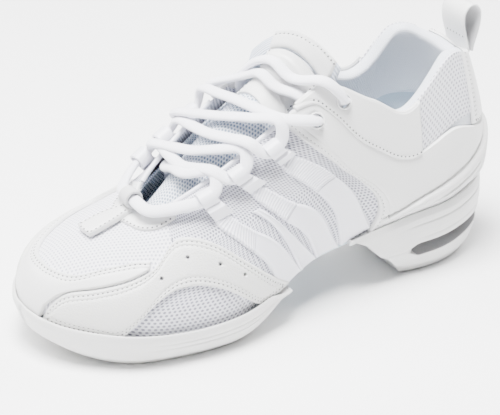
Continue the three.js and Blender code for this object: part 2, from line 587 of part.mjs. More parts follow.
// Lasting boards, one per half of the sole, and the sockliner over both.
const BOARD_INSET = -LINING.inner + LAYER_GAP + 0.4;
const PIVOT_Y = 15 * ratio.y;
const BOARD_GAP = 3;
const flat = (ys, inset, low, high) => hull([
  outline(ys, -inset, (z) => z + low),
  outline(ys, -inset, (z) => z + high),
]);
const SOCK_RISE = 0.6;
const SOCK_YS = [...spread(0, HEEL_Y - BOARD_INSET - 1, 10).reverse(),
  ...spread(0, TOE_Y + BOARD_INSET + 1, 10).slice(1)];
const SLING_DROP = 2.6;
const SLING_YS = [-3, 3, 9, 15, 21, 27, 33].map((y) => y * ratio.y);
add('forefoot_board', flat(spread(PIVOT_Y - BOARD_GAP / 2, TOE_Y + BOARD_INSET, 12), BOARD_INSET,
  -SEAT_DROP + 0.7, -SEAT_DROP + 0.7 + BOARD_WALL), 'board');
add('heel_board', flat(spread(PIVOT_Y + BOARD_GAP / 2, HEEL_Y - BOARD_INSET, 12), BOARD_INSET,
  -SEAT_DROP + 0.7, -SEAT_DROP + 0.7 + BOARD_WALL), 'board');

add('sockliner', hull([
  outline(SOCK_YS, -BOARD_INSET - 0.6, (z) => z + SOCK_RISE),
  outline(SOCK_YS, -BOARD_INSET - 0.6, (z) => z + SOCK_RISE + SOCK_WALL),
]), 'lining');
add('arch_sling', hull([
  outline(SLING_YS, 0, (z) => z - SLING_DROP - BOARD_WALL),
  outline(SLING_YS, 0, (z) => z - SLING_DROP),
]), 'mesh');

// ---------------------------------------------------------------- pull loop
const collarBack = onLast(0, 1);
const LOOP_LIFT = 3.8;           // above the collar, where its ends are sewn in
function pullLoop() {
  const half = LOOP_DEPTH / 2;
  const shape = new THREE.Shape();
  shape.moveTo(-half, 0);
  shape.lineTo(-half, LOOP_HEIGHT - half);
  shape.absarc(0, LOOP_HEIGHT - half, half, Math.PI, 0, true);
  shape.lineTo(half, 0);
  shape.lineTo(half - LOOP_BAND, 0);
  shape.lineTo(half - LOOP_BAND, LOOP_HEIGHT - half);
  shape.absarc(0, LOOP_HEIGHT - half, half - LOOP_BAND, 0, Math.PI, false);
  shape.lineTo(-half + LOOP_BAND, 0);
  shape.closePath();
  const settings = { depth: LOOP_WIDTH, bevelEnabled: false, curveSegments: 8 };
  const band = new THREE.ExtrudeGeometry(shape, settings);
  band.rotateX(Math.PI / 2);
  band.rotateZ(Math.PI / 2);
  band.translate(-LOOP_WIDTH / 2, collarBack.y + 2, collarBack.z + LOOP_LIFT);
  return fromManifold(toManifold(band));
}
add('pull_loop', pullLoop(), 'leather');

// ---------------------------------------------------------------- shoelace
const side = { lateral: SIDES[0], medial: SIDES[1] };

// Three points through a moulded loop, from the toe side to the ankle side.
function through(loop, which) {
  const { centre, back } = ringFrame(RINGS[loop].at, side[which]);
  const reach = RING_LENGTH / 2 + 1.6;
  return [-reach, 0, reach].map((d) => centre.clone().addScaledVector(back, d));
}
// A point over (or under) the wall of the upper at a lateral station or its twin.
const over = (which, u, v, offset) => skin(...side[which].turn([u, v]), offset);
// A point on top of the tongue, a share of the way from its inner to its outer edge.
function tongueRow(y) {
  const all = [...TONGUE_ROWS, ...FLAP_ROWS];
  let i = all.findIndex((row) => row[0] > y);
  i = i < 1 ? all.length - 1 : i;
  const t = (y - all[i - 1][0]) / (all[i][0] - all[i - 1][0]);
  return all[i].map((value, k) => mix(all[i - 1][k], value, t));
}
const onTongue = (y, share, lift) => tonguePoint(tongueRow(y), share, -lift);

const tabRing = {
  centre: skin(10.87, 0.985, TAB.inner + RING_RADIUS),
  back: new THREE.Vector3(1, 0, 0),
};
const tabBody = toManifold(tabPanel()).add(rod(tabRing.centre, tabRing.back, RING_RADIUS, RING_LENGTH));
add('lace_tab', fromManifold(tabBody.subtract(
  rod(tabRing.centre, tabRing.back, RING_BORE, 3 * RING_LENGTH))), 'leather');
const alongTab = (d) => tabRing.centre.clone().addScaledVector(tabRing.back, d);

// In through an eyelet, from outside the wall to inside it.
const throughEyelet = (which, i) => [5.6, 1.4, -2.4].map((d) => over(which, ...EYELETS[i], d));

// From the end of one run to the start of the next, over both edges and the tongue between.
const EDGE_LIFT = 6.8;            // more beside the quarter, whose leather is thicker
const TURN = 5.9;                // how far past a loop the lace has turned across
function brink(which, loop, end) {
  const { back } = ringFrame(RINGS[loop].at, side[which]);
  const lift = loop === RINGS.length - 1 ? EDGE_LIFT + 2 * LEATHER_WALL : EDGE_LIFT;
  return over(which, RINGS[loop].at[0], 1, lift).addScaledVector(back, end * (RING_LENGTH / 2 + TURN));
}
function across(a, b, lift = 4.7) {
  const between = [0.28, 0.5, 0.72].map((t) => {
    const extra = t === 0.5 ? 0 : 2.6;
    const p = a.clone().lerp(b, t);
    const aside = p.x - TONGUE_MIDDLE;
    const row = tongueRow(p.y - tongueRow(p.y)[4] * aside);
    return tonguePoint(row, aside / row[2], -lift - extra);
  });
  return [a, ...between, b];
}

const lacing = [
  // the inner end, tucked under the medial edge, then over the tongue to the first outer loop
  new THREE.Vector3(-25.5, -34, 55), new THREE.Vector3(-25.2, -36, 63), new THREE.Vector3(-20, -39.5, 71.5),
  onTongue(-41.5, -0.6, 4.6), onTongue(-41.5, 0, 4.8), onTongue(-40, 0.5, 8.4), brink('lateral', 0, 1),
  ...through(0, 'lateral').reverse(),
  // the bar through the tab at the foot of the throat, and up to the first inner loop
  over('lateral', 8.5, 0.92, 6.8), alongTab(8), alongTab(0), alongTab(-8), over('medial', 8.5, 0.92, 6.8),
  ...through(0, 'medial'),
  ...across(brink('medial', 0, 1), brink('lateral', 1, -1)),
  ...through(1, 'lateral'),
  ...across(brink('lateral', 1, 1), brink('medial', 1, -1)),
  ...through(1, 'medial'),
  ...across(brink('medial', 1, 1), brink('lateral', 2, -1)),
  ...through(2, 'lateral'),
  ...across(brink('lateral', 2, 1), brink('medial', 2, -1)),
  ...through(2, 'medial'),
  ...across(brink('medial', 2, 1), over('lateral', 5.82, 1, EDGE_LIFT)),
  over('lateral', 5.55, 0.9, 7.4),
  ...throughEyelet('lateral', 0),
  // inside the eyestay, out over the tongue and into the inner side's eyelet
  over('lateral', 5.3, 0.92, -2.9), over('lateral', 5.34, 1.02, -2.7),
  onTongue(6.5, 0.5, 4.2), onTongue(5.5, 0, 4.8), onTongue(4.5, -0.6, 5.4), over('medial', 5.72, 0.98, 8.4),
  over('medial', 5.52, 0.9, 7.4),
  ...throughEyelet('medial', 0),
  over('medial', 5.3, 0.92, -2.9), over('medial', 5.36, 1.02, -2.7),
  // the last strand goes to the outer side's second eyelet, its end tucked inside
  onTongue(11.5, -0.5, 4), onTongue(12, 0.1, 4.4), onTongue(12.5, 0.65, 6),
  over('lateral', 5.0, 1.03, 7.2), over('lateral', 4.84, 0.97, 7.6),
  ...throughEyelet('lateral', 1),
  over('lateral', 4.66, 0.83, -5), over('lateral', 4.74, 0.72, -6.5),
];

// The lace is a tube with a ring of points at each place above, and one more in a long stretch.
const LACE_SIDES = 8;
const LONG_STRETCH = 22;
function lacePath() {
  const curve = new THREE.CatmullRomCurve3(lacing, false, 'centripetal');
  const path = [];
  lacing.forEach((p, i) => {
    path.push(p);
    if (i < lacing.length - 1 && p.distanceTo(lacing[i + 1]) > LONG_STRETCH) {
      path.push(curve.getPoint((i + 0.5) / (lacing.length - 1)));
    }
  });
  return path;
}
function tube(path, radius, sides) {
  const points = [];
  const triangles = [];
  let across = new THREE.Vector3(0, 0, 1);
  path.forEach((p, i) => {
    const before = path[Math.max(i - 1, 0)];
    const after = path[Math.min(i + 1, path.length - 1)];
    const along = after.clone().sub(before).normalize();
    across = across.clone().addScaledVector(along, -across.dot(along)).normalize();
    const other = along.clone().cross(across);
    for (let k = 0; k < sides; k += 1) {
      const angle = (k / sides) * 2 * Math.PI;
      points.push(p.clone().addScaledVector(across, radius * Math.cos(angle))
        .addScaledVector(other, radius * Math.sin(angle)));
    }
  });
  for (let i = 0; i < path.length - 1; i += 1) {
    for (let k = 0; k < sides; k += 1) {
      const [a, b] = [i * sides + k, i * sides + ((k + 1) % sides)];
      triangles.push([a, b, b + sides], [a, b + sides, a + sides]);
    }
  }
  const last = (path.length - 1) * sides;
  for (let k = 1; k < sides - 1; k += 1) {
    triangles.push([0, k + 1, k], [last, last + k, last + k + 1]);
  }
  return closed(points, triangles);
}
const laceRun = lacePath();
add('shoelace', tube(laceRun, LACE_RADIUS, LACE_SIDES), 'lace');

// A hard tip on each end of the lace, in line with it.
const TIP_LENGTH = 12;
const TIP_RADIUS = 1.9;
function laceTip(end, before) {
  const away = end.clone().sub(before).normalize();
  const middle = end.clone().addScaledVector(away, TIP_LENGTH / 2 + 0.3);
  return fromManifold(rod(middle, away, TIP_RADIUS, TIP_LENGTH));
}
add('lace_tip_1', laceTip(laceRun[0], laceRun[1]), 'stiff');
add('lace_tip_2', laceTip(laceRun[laceRun.length - 1], laceRun[laceRun.length - 2]), 'stiff');

const middleOf = new THREE.Box3().setFromObject(group).getCenter(new THREE.Vector3());
group.position.set(-middleOf.x, -middleOf.y, 0);

export default group;
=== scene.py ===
# %% [markdown]
# # A split-sole dance trainer
# The trainer is a thin skin of mesh and leather drawn over one smooth foot shape, with a moulded sole
# in two halves below. This lesson loads the plain model that fixes every size, then makes each
# visible piece again in more detail, at the same place.

# %% Load the fixed frame
import math

import bmesh
import bpy
import numpy as np
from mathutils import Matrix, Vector


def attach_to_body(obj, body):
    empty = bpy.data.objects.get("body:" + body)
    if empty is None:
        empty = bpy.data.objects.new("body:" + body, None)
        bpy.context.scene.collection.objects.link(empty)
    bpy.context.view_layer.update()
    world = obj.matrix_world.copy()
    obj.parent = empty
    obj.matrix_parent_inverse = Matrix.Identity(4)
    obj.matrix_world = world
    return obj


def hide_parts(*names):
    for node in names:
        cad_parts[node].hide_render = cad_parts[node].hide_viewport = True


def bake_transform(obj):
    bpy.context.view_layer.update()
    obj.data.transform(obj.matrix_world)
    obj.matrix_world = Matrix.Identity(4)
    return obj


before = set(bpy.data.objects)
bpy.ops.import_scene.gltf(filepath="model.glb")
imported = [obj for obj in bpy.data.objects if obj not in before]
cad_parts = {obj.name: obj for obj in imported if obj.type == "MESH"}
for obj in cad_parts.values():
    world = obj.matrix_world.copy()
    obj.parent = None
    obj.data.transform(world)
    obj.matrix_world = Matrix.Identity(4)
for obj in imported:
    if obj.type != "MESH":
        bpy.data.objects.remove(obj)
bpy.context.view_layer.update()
MM = 0.001
# The last below was drawn round its own middle; this moves its points to the middle of the plain model.
SHIFT = np.array([-1.5684, -2.7512, 0.0])

# %% [markdown]
# ## Camera, floor and light
# A long lens from the toe and outer side keeps the proportions calm; a short one would swell the toe.
# White leather needs soft light from large lamps: small hard ones would burn the toe and leave the arch
# black. So three square lamps stand round the shoe, the strongest overhead, and a pale sky fills the
# shadows.

# %% Camera
AZIMUTH, ELEVATION = math.radians(59.477), math.radians(27.355)
AIM = Vector((-1.568, -6.308, 45.21)) * MM
CAMERA_DISTANCE = 948.05 * MM
LENS, SENSOR_WIDTH, NEAREST = 135.15, 36, 0.05


def look_from(azimuth, elevation, distance):
    """A place on a sphere round the aim: azimuth 0 looks along +Y, 90 from +X."""
    level = math.cos(elevation)
    away = Vector((math.sin(azimuth) * level, -math.cos(azimuth) * level, math.sin(elevation)))
    return AIM + away * distance


camera = bpy.data.objects.new("camera", bpy.data.cameras.new("camera"))
bpy.context.scene.collection.objects.link(camera)
camera.location = look_from(AZIMUTH, ELEVATION, CAMERA_DISTANCE)
camera.rotation_euler = (AIM - camera.location).to_track_quat("-Z", "Y").to_euler()
camera.data.lens = LENS
camera.data.sensor_width = SENSOR_WIDTH
camera.data.clip_start = NEAREST
bpy.context.scene.camera = camera
print("camera distance in m:", round(CAMERA_DISTANCE, 3))

# %% Lamps and sky
# Azimuth and elevation in degrees, distance and size in metres, power in watts.
LAMPS = {
    "lamp_left": (-35, 45, 1.3, 0.7, 26),
    "lamp_top": (20, 80, 1.25, 0.6, 92),
    "lamp_back": (185, 42, 1.4, 0.8, 22),
}
SKY_TINT, SKY_STRENGTH = (0.96, 0.97, 1.0, 1), 0.26


def area_lamp(name, azimuth, elevation, distance, size, power):
    """A square lamp that faces the shoe."""
    lamp = bpy.data.lights.new(name, "AREA")
    lamp.size = size
    lamp.energy = power
    item = bpy.data.objects.new(name, lamp)
    bpy.context.scene.collection.objects.link(item)
    item.location = look_from(math.radians(azimuth), math.radians(elevation), distance)
    item.rotation_euler = (AIM - item.location).to_track_quat("-Z", "Y").to_euler()
    return item


for name, settings in LAMPS.items():
    area_lamp(name, *settings)

sky = bpy.data.worlds.new("studio_sky")
bpy.context.scene.world = sky
sky.use_nodes = True
sky.node_tree.nodes["Background"].inputs["Color"].default_value = SKY_TINT
sky.node_tree.nodes["Background"].inputs["Strength"].default_value = SKY_STRENGTH
print("lamps:", list(LAMPS))

# %% Floor
HALF_FLOOR = 4.0
floor_corners = [(x * HALF_FLOOR, y * HALF_FLOOR, 0) for x, y in ((-1, -1), (1, -1), (1, 1), (-1, 1))]
floor_mesh = bpy.data.meshes.new("floor")
floor_mesh.from_pydata(floor_corners, [], [(0, 1, 2, 3)])
floor = bpy.data.objects.new("floor", floor_mesh)
bpy.context.scene.collection.objects.link(floor)
print("floor width in m:", 2 * HALF_FLOOR)

# %% [markdown]
# ## The foot shape
# Shoemakers call the wooden foot a last. Ours is a closed row of ribs from the sole's edge up to the
# opening, each rib a curve with four handles. Any place on it is (u, v): u counts ribs round the foot from
# the heel past the outer side, v climbs from the sole (0) to the opening (1). Drawing every panel in (u,
# v) makes neighbours fit each other, which loose modelling by eye would not.

# %% Ribs of the last, in millimetres
# Each rib has its foot, its top, how far out and up the lower handle stands from the foot, and how far out
# and up the upper handle stands from the top.
RIBS = [
    [[0, 128, 41], [0, 121, 107], 8, 22, 7, -22],
    [[20, 119, 41], [16, 113, 111], 8, 22, 7, -22],
    [[31, 96, 38], [24, 98, 115], 8, 22, 6, -24],
    [[31, 68, 35], [28, 71, 93], 9, 18, 4, -18],
    [[30, 42, 30], [26, 49, 103], 9, 24, 6, -22],
    [[31, 16, 26], [20, 24, 113], 9, 26, 14, -22],
    [[41, -12, 20], [20, -4, 97], 5, 24, 14, -16],
    [[48, -38, 16], [18, -32, 80], 3, 20, 15, -12],
    [[47, -67, 15], [12, -56, 66], 3, 20, 20, -8],
    [[39, -95, 17], [5, -64, 60], 3, 20, 26, -6],
    [[18, -119, 20], [0, -66, 59], 3, 21, 29, -5],
    [[-8, -126, 23], [-4, -66, 59], 4, 22, 32, -5],
    [[-32, -112, 24], [-7, -65, 59], 4, 22, 29, -5],
    [[-43, -86, 22], [-12, -61, 61], 4, 22, 25, -5],
    [[-45, -56, 20], [-18, -52, 69], 4, 21, 18, -7],
    [[-39, -27, 23], [-24, -30, 84], 4, 22, 10, -12],
    [[-31, 0, 28], [-25, -2, 103], 6, 24, 8, -18],
    [[-27, 28, 33], [-25, 26, 114], 7, 26, 7, -22],
    [[-28, 62, 38], [-27, 70, 95], 8, 18, 5, -16],
    [[-29, 94, 41], [-24, 96, 116], 8, 22, 6, -22],
    [[-19, 118, 42], [-16, 114, 112], 8, 22, 7, -22],
]
RIB_COUNT = len(RIBS)
# The station of the inner side that faces each of the outer stations 0 to 11.
FACING = [21, 20, 19, 18.15, 17.4, 16.57, 15.55, 14.62, 13.63, 12.65, 11.5, 11]
print("ribs:", RIB_COUNT)

# %% A smooth surface through the ribs


def smooth_through(points, place, ring=False):
    """A Catmull-Rom curve through rows of points; place counts points from 0."""
    n = len(points)
    place = np.asarray(place, float)
    i = np.floor(place).astype(int)
    if not ring:
        i = np.clip(i, 0, n - 2)
    t = (place - i)[..., None]
    near = [(i + k) % n if ring else np.clip(i + k, 0, n - 1) for k in (-1, 0, 1, 2)]
    a, b, c, d = (points[k] for k in near)
    bend, twist = 2 * a - 5 * b + 4 * c - d, 3 * b - a - 3 * c + d
    return 0.5 * (2 * b + (c - a) * t + bend * t**2 + twist * t**3)


def rib_handles():
    """The four points that draw every rib: its foot, two handles and its top."""
    feather = np.array([rib[0] for rib in RIBS], float)
    top = np.array([rib[1] for rib in RIBS], float)
    along = np.roll(feather, -1, 0) - np.roll(feather, 1, 0)
    out = np.stack([along[:, 1], -along[:, 0], np.zeros(RIB_COUNT)], 1)
    out /= np.linalg.norm(out, axis=1)[:, None]
    out *= np.sign((out * feather).sum(1))[:, None]
    out1, up1, out2, up2 = (np.array([rib[k] for rib in RIBS], float)[:, None] for k in (2, 3, 4, 5))
    up = np.array([0, 0, 1.0])
    return feather, feather + out * out1 + up * up1, top + out * out2 + up * up2, top


HANDLES = rib_handles()


def on_last(u, v):
    """Places on the last, in millimetres."""
    u, v = np.broadcast_arrays(np.asarray(u, float), np.asarray(v, float))
    rows = [smooth_through(row, np.mod(u, RIB_COUNT), ring=True) for row in HANDLES]
    v = v[..., None]
    shares = ((1 - v) ** 3, 3 * v * (1 - v) ** 2, 3 * v * v * (1 - v), v**3)
    return sum(share * row for share, row in zip(shares, rows))


def smooth_step(x, low, high):
    """Climbs from 0 at low to 1 at high, level at both ends."""
    t = np.clip((np.asarray(x, float) - low) / (high - low), 0, 1)
    return t * t * (3 - 2 * t)


def unit(vectors):
    return vectors / np.maximum(np.linalg.norm(vectors, axis=-1, keepdims=True), 1e-12)


def outward(u, v):
    """The direction straight out of the last."""
    u, v = np.asarray(u, float), np.asarray(v, float)
    step = 1e-3
    du = on_last(u + step, v) - on_last(u - step, v)
    dv = on_last(u, v + step) - on_last(u, v - step)
    return unit(np.cross(dv, du))


def skin(u, v, offset):
    """A point so many millimetres out from the last."""
    return on_last(u, v) + outward(u, v) * np.asarray(offset, float)[..., None]


def facing(u):
    """The inner side's station that faces an outer one."""
    return np.where(np.asarray(u) < 0, -np.asarray(u), np.interp(u, range(len(FACING)), FACING))


def medial_of(edge):
    """An edge of the outer side, carried over to the inner side."""
    edge = np.array(edge, float)
    return np.stack([facing(edge[:, 0]), edge[:, 1]], 1)


round_last = on_last(np.linspace(0, RIB_COUNT, 300), 0.2)
print("length of the last in mm:", round(float(np.ptp(round_last[:, 1])), 1))

# %% [markdown]
# ## From points to pieces
# One small set of helpers turns grids of points into closed meshes. A piece rides on its half of the shoe;
# one that crosses the arch is left on neither half, with its place baked in. Every piece is sorted by the
# same zone. Modifiers could give the same walls and rolls, but a grid worked out in code puts every point
# where a seam or a rim needs it.

# %% Mesh helpers
BEND_START = (0.0, -0.0148, 0.05)
BEND_END = (0.0, 0.0152, 0.05)
SHARP = math.radians(38)
WELD_GAP, SLIVER = 2e-6, 1e-6
made = {}


def mesh_piece(name, points, faces, finish, uv=None, weld=True):
    """A closed, smooth-shaded mesh from points in millimetres of the last's frame."""
    points = (np.asarray(points, float).reshape(-1, 3) + SHIFT) * MM
    mesh = bpy.data.meshes.new(name)
    mesh.from_pydata([tuple(p) for p in points], [], [tuple(int(i) for i in f) for f in faces])
    if uv is not None:
        layer = mesh.uv_layers.new(name="UVMap")
        corners = np.zeros(len(mesh.loops), int)
        mesh.loops.foreach_get("vertex_index", corners)
        layer.data.foreach_set("uv", np.asarray(uv, np.float32).reshape(-1, 2)[corners].ravel())
    work = bmesh.new()
    work.from_mesh(mesh)
    if weld:
        bmesh.ops.remove_doubles(work, verts=work.verts, dist=WELD_GAP)
        bmesh.ops.dissolve_degenerate(work, dist=SLIVER, edges=work.edges)
    bmesh.ops.recalc_face_normals(work, faces=work.faces)
    for face in work.faces:
        face.smooth = True
    for edge in work.edges:
        edge.smooth = len(edge.link_faces) != 2 or edge.calc_face_angle(0) < SHARP
    work.to_mesh(mesh)
    work.free()
    full_name = "fine_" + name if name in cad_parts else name
    item = bpy.data.objects.new(full_name, mesh)
    bpy.context.scene.collection.objects.link(item)
    for one in finish if isinstance(finish, (list, tuple)) else [finish]:
        mesh.materials.append(one)
    made[name] = item
    return item


def attach(item, nodes=(), body=None):
    """Rides on one half of the shoe; a piece that crosses the arch rides on neither and only has its place
    baked in.
    """
    ys = np.array([v.co.y for v in item.data.vertices])
    if body:
        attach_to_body(item, body)
    elif ys.max() <= BEND_START[1]:
        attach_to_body(item, "forefoot")
    elif ys.min() >= BEND_END[1]:
        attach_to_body(item, "rearfoot")
    else:
        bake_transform(item)
    if nodes:
        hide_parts(*nodes)
    return item


def grid_faces(rows, columns, base=0, ring=False):
    """Four-sided faces between rows of points; a ring's last column joins its first."""
    faces = []
    for i in range(rows - 1):
        for j in range(columns if ring else columns - 1):
            k = (j + 1) % columns
            faces.append((base + i * columns + j, base + i * columns + k,
                          base + (i + 1) * columns + k, base + (i + 1) * columns + j))
    return faces


print("bend zone of the arch in mm:", round((BEND_END[1] - BEND_START[1]) / MM, 1))

# %% [markdown]
# ## Finishes
# The shoe is white all over, so the finishes differ mostly by relief: open mesh, pebbled leather,
# ribbed webbing, woven lace, moulded sole. Their holes and grooves are also tinted darker, as painted shade.
# Image textures would need drawing and stretch at the toe; patterns worked out by nodes stay crisp at any
# distance. What several finishes share is a node group, built once with named sockets.

# %% Node helpers


def place(tree, kind, **settings):
    """Adds a node; plain settings are properties, others are input values or links."""
    item = tree.nodes.new(kind)
    inputs = settings.pop("inputs", {})
    for key, value in settings.items():
        setattr(item, key, value)
    for key, value in inputs.items():
        if isinstance(value, bpy.types.NodeSocket):
            tree.links.new(value, item.inputs[key])
        else:
            item.inputs[key].default_value = value
    return item


def maths(tree, operation, a, b=0.0):
    return place(tree, "ShaderNodeMath", operation=operation, inputs={0: a, 1: b}).outputs[0]


def vectors(tree, operation, a, b=(0, 0, 0), out=0):
    return place(tree, "ShaderNodeVectorMath", operation=operation, inputs={0: a, 1: b}).outputs[out]


def start_group(name, inputs, outputs):
    """A shader node group with float inputs (name: default) and a vector called Place."""
    tree = bpy.data.node_groups.new(name, "ShaderNodeTree")
    tree.interface.new_socket(name="Place", in_out="INPUT", socket_type="NodeSocketVector")
    for label, value in inputs.items():
        socket = tree.interface.new_socket(name=label, in_out="INPUT", socket_type="NodeSocketFloat")
        socket.default_value = value
    for label in outputs:
        tree.interface.new_socket(name=label, in_out="OUTPUT", socket_type="NodeSocketFloat")
    return tree, tree.nodes.new("NodeGroupInput"), tree.nodes.new("NodeGroupOutput")


# %% Group: holes of an open mesh, in a honeycomb
ROOT_3 = math.sqrt(3)


def honeycomb_group():
    """Round-cornered six-sided holes: the nearer of two interleaved rows of cells wins."""
    tree, given, result = start_group("honeycomb_holes", {"Pitch": 1.8, "Hole": 0.3, "Soft": 0.1}, ["Hole"])
    pitch = given.outputs["Pitch"]
    size = place(tree, "ShaderNodeCombineXYZ", inputs={0: pitch, 1: pitch, 2: pitch}).outputs[0]
    scaled = vectors(tree, "DIVIDE", given.outputs["Place"], size)
    flat = vectors(tree, "MULTIPLY", scaled, (1, 1, 0))
    nearest = []
    for offset in ((0, 0, 0), (0.5, ROOT_3 / 2, 0)):
        moved = vectors(tree, "SUBTRACT", flat, offset)
        cell = place(tree, "ShaderNodeVectorMath", operation="WRAP",
                     inputs={0: moved, 1: (0.5, ROOT_3 / 2, 0.5), 2: (-0.5, -ROOT_3 / 2, -0.5)}).outputs[0]
        side = vectors(tree, "ABSOLUTE", cell)
        slanted = vectors(tree, "DOT_PRODUCT", side, (ROOT_3 / 2, 0.5, 0), out=1)
        upright = place(tree, "ShaderNodeSeparateXYZ", inputs={0: side}).outputs[1]
        nearest.append(maths(tree, "MAXIMUM", slanted, upright))
    reach = maths(tree, "MINIMUM", *nearest)
    inner = maths(tree, "SUBTRACT", given.outputs["Hole"], given.outputs["Soft"])
    mask = place(tree, "ShaderNodeMapRange", interpolation_type="SMOOTHSTEP",
                 inputs={"Value": reach, "From Min": inner, "From Max": given.outputs["Hole"],
                         "To Min": 1.0, "To Max": 0.0}).outputs[0]
    tree.links.new(mask, result.inputs["Hole"])
    return tree


# %% Group: pebbled leather


def grain_group():
    """Pebbles with rounded tops, over slow creases."""
    tree, given, result = start_group("leather_grain", {"Pebble": 900.0, "Crease": 0.4}, ["Height", "Tone"])
    cells = place(tree, "ShaderNodeTexVoronoi", feature="DISTANCE_TO_EDGE",
                  inputs={"Vector": given.outputs["Place"], "Scale": given.outputs["Pebble"]})
    pebble = place(tree, "ShaderNodeMapRange", interpolation_type="SMOOTHSTEP",
                   inputs={"Value": cells.outputs["Distance"], "From Min": 0.0, "From Max": 0.28}).outputs[0]
    slow = place(tree, "ShaderNodeTexNoise",
                 inputs={"Vector": given.outputs["Place"], "Scale": 70.0, "Detail": 4.0, "Roughness": 0.55})
    crease = maths(tree, "MULTIPLY", slow.outputs["Fac"], given.outputs["Crease"])
    tree.links.new(maths(tree, "ADD", pebble, crease), result.inputs["Height"])
    tree.links.new(slow.outputs["Fac"], result.inputs["Tone"])
    return tree


# %% Group: woven or ribbed threads


def weave_group():
    """Threads along and across; Balance 0 is pure ribs, 1 an even weave."""
    tree, given, result = start_group("woven_threads", {"Pitch": 0.9, "Balance": 0.5}, ["Height"])
    parts = place(tree, "ShaderNodeSeparateXYZ", inputs={0: given.outputs["Place"]})
    turn = maths(tree, "DIVIDE", 2 * math.pi, given.outputs["Pitch"])
    along = maths(tree, "SINE", maths(tree, "MULTIPLY", parts.outputs[0], turn))
    over = maths(tree, "SINE", maths(tree, "MULTIPLY", parts.outputs[1], turn))
    crossed = maths(tree, "MULTIPLY", maths(tree, "MULTIPLY", over, given.outputs["Balance"]), along)
    ribs = maths(tree, "MULTIPLY", along, maths(tree, "SUBTRACT", 1.0, given.outputs["Balance"]))
    total = maths(tree, "ADD", ribs, crossed)
    tree.links.new(maths(tree, "MULTIPLY_ADD", total, 0.5), result.inputs["Height"])
    return tree


# %% Group: handling marks, a soft uneven dulling that every finish shares


def handling_group():
    """Cloudy patches that are stronger near the ground."""
    tree, given, result = start_group("handling_marks", {"Amount": 0.3, "Size": 30.0}, ["Mark"])
    cloudy = place(tree, "ShaderNodeTexNoise",
                   inputs={"Vector": given.outputs["Place"], "Scale": given.outputs["Size"], "Detail": 5.0})
    patch = place(tree, "ShaderNodeMapRange",
                  inputs={"Value": cloudy.outputs["Fac"], "From Min": 0.42, "From Max": 0.72}).outputs[0]
    height = place(tree, "ShaderNodeSeparateXYZ", inputs={0: given.outputs["Place"]}).outputs[2]
    low = place(tree, "ShaderNodeMapRange", inputs={"Value": height, "From Min": 0.0, "From Max": 0.04,
                                                    "To Min": 1.0, "To Max": 0.35}).outputs[0]
    tree.links.new(maths(tree, "MULTIPLY", maths(tree, "MULTIPLY", patch, low), given.outputs["Amount"]),
                   result.inputs["Mark"])
    return tree


HONEYCOMB, GRAIN, WEAVE, HANDLING = honeycomb_group(), grain_group(), weave_group(), handling_group()
print("node groups:", [g.name for g in (HONEYCOMB, GRAIN, WEAVE, HANDLING)])

# %% [markdown]
# Each finish below is one call: a base colour, a roughness, one relief group with its own numbers, and the
# shared handling marks. A material built by hand for each piece would drift apart from its neighbours. UV
# coordinates are millimetres on the flat pattern, so a pitch of 1.8 is 1.8 mm.

# %% One builder for all finishes
MARK_TINT, MARK_DULLS = (0.62, 0.60, 0.56, 1), 0.5
COAT_ROUGHNESS = 0.25
SCATTER = (0.004, 0.004, 0.004)


def use_group(tree, group, spot, **values):
    """Places a shared group in a material, with this finish's own numbers."""
    item = tree.nodes.new("ShaderNodeGroup")
    item.node_tree = group
    tree.links.new(spot, item.inputs["Place"])
    for key, value in values.items():
        item.inputs[key].default_value = value
    return item


def finish(name, color, roughness, relief, depth, dark=None, share=0.0, marks=0.25, coat=0.0, sheen=0.0,
           subsurface=0.0, **values):
    """relief is (group, output, coordinates), its depth in mm; dark tints where the relief output is high, as
    painted shade: dark in the holes of nets and knits, while threads keep a darker base colour in their
    grooves.
    """
    material = bpy.data.materials.new(name)
    material.use_nodes = True
    tree = material.node_tree
    shader = tree.nodes["Principled BSDF"]
    spots = tree.nodes.new("ShaderNodeTexCoord").outputs
    group, output, coordinates = relief
    pattern = use_group(tree, group, spots[coordinates], **values)
    strength = pattern.outputs[output]
    mark = use_group(tree, HANDLING, spots["Object"], Amount=marks).outputs["Mark"]
    # Colour keyed to the relief: painted shade in holes and between threads.
    tinted = place(tree, "ShaderNodeMix", data_type="RGBA",
                   inputs={0: maths(tree, "MULTIPLY", strength, share), 6: (*color, 1),
                           7: (*(dark or color), 1)}).outputs[2]
    worn = place(tree, "ShaderNodeMix", data_type="RGBA",
                 inputs={0: mark, 6: tinted, 7: MARK_TINT}).outputs[2]
    tree.links.new(worn, shader.inputs["Base Color"])
    rough = maths(tree, "ADD", maths(tree, "MULTIPLY", mark, MARK_DULLS), roughness)
    tree.links.new(rough, shader.inputs["Roughness"])
    bump = place(tree, "ShaderNodeBump",
                 inputs={"Height": strength, "Distance": abs(depth) * MM, "Strength": 1.0})
    bump.invert = depth < 0
    tree.links.new(bump.outputs[0], shader.inputs["Normal"])
    shader.inputs["Coat Weight"].default_value = coat
    shader.inputs["Coat Roughness"].default_value = COAT_ROUGHNESS
    shader.inputs["Sheen Weight"].default_value = sheen
    shader.inputs["Subsurface Weight"].default_value = subsurface
    shader.inputs["Subsurface Radius"].default_value = SCATTER
    return material


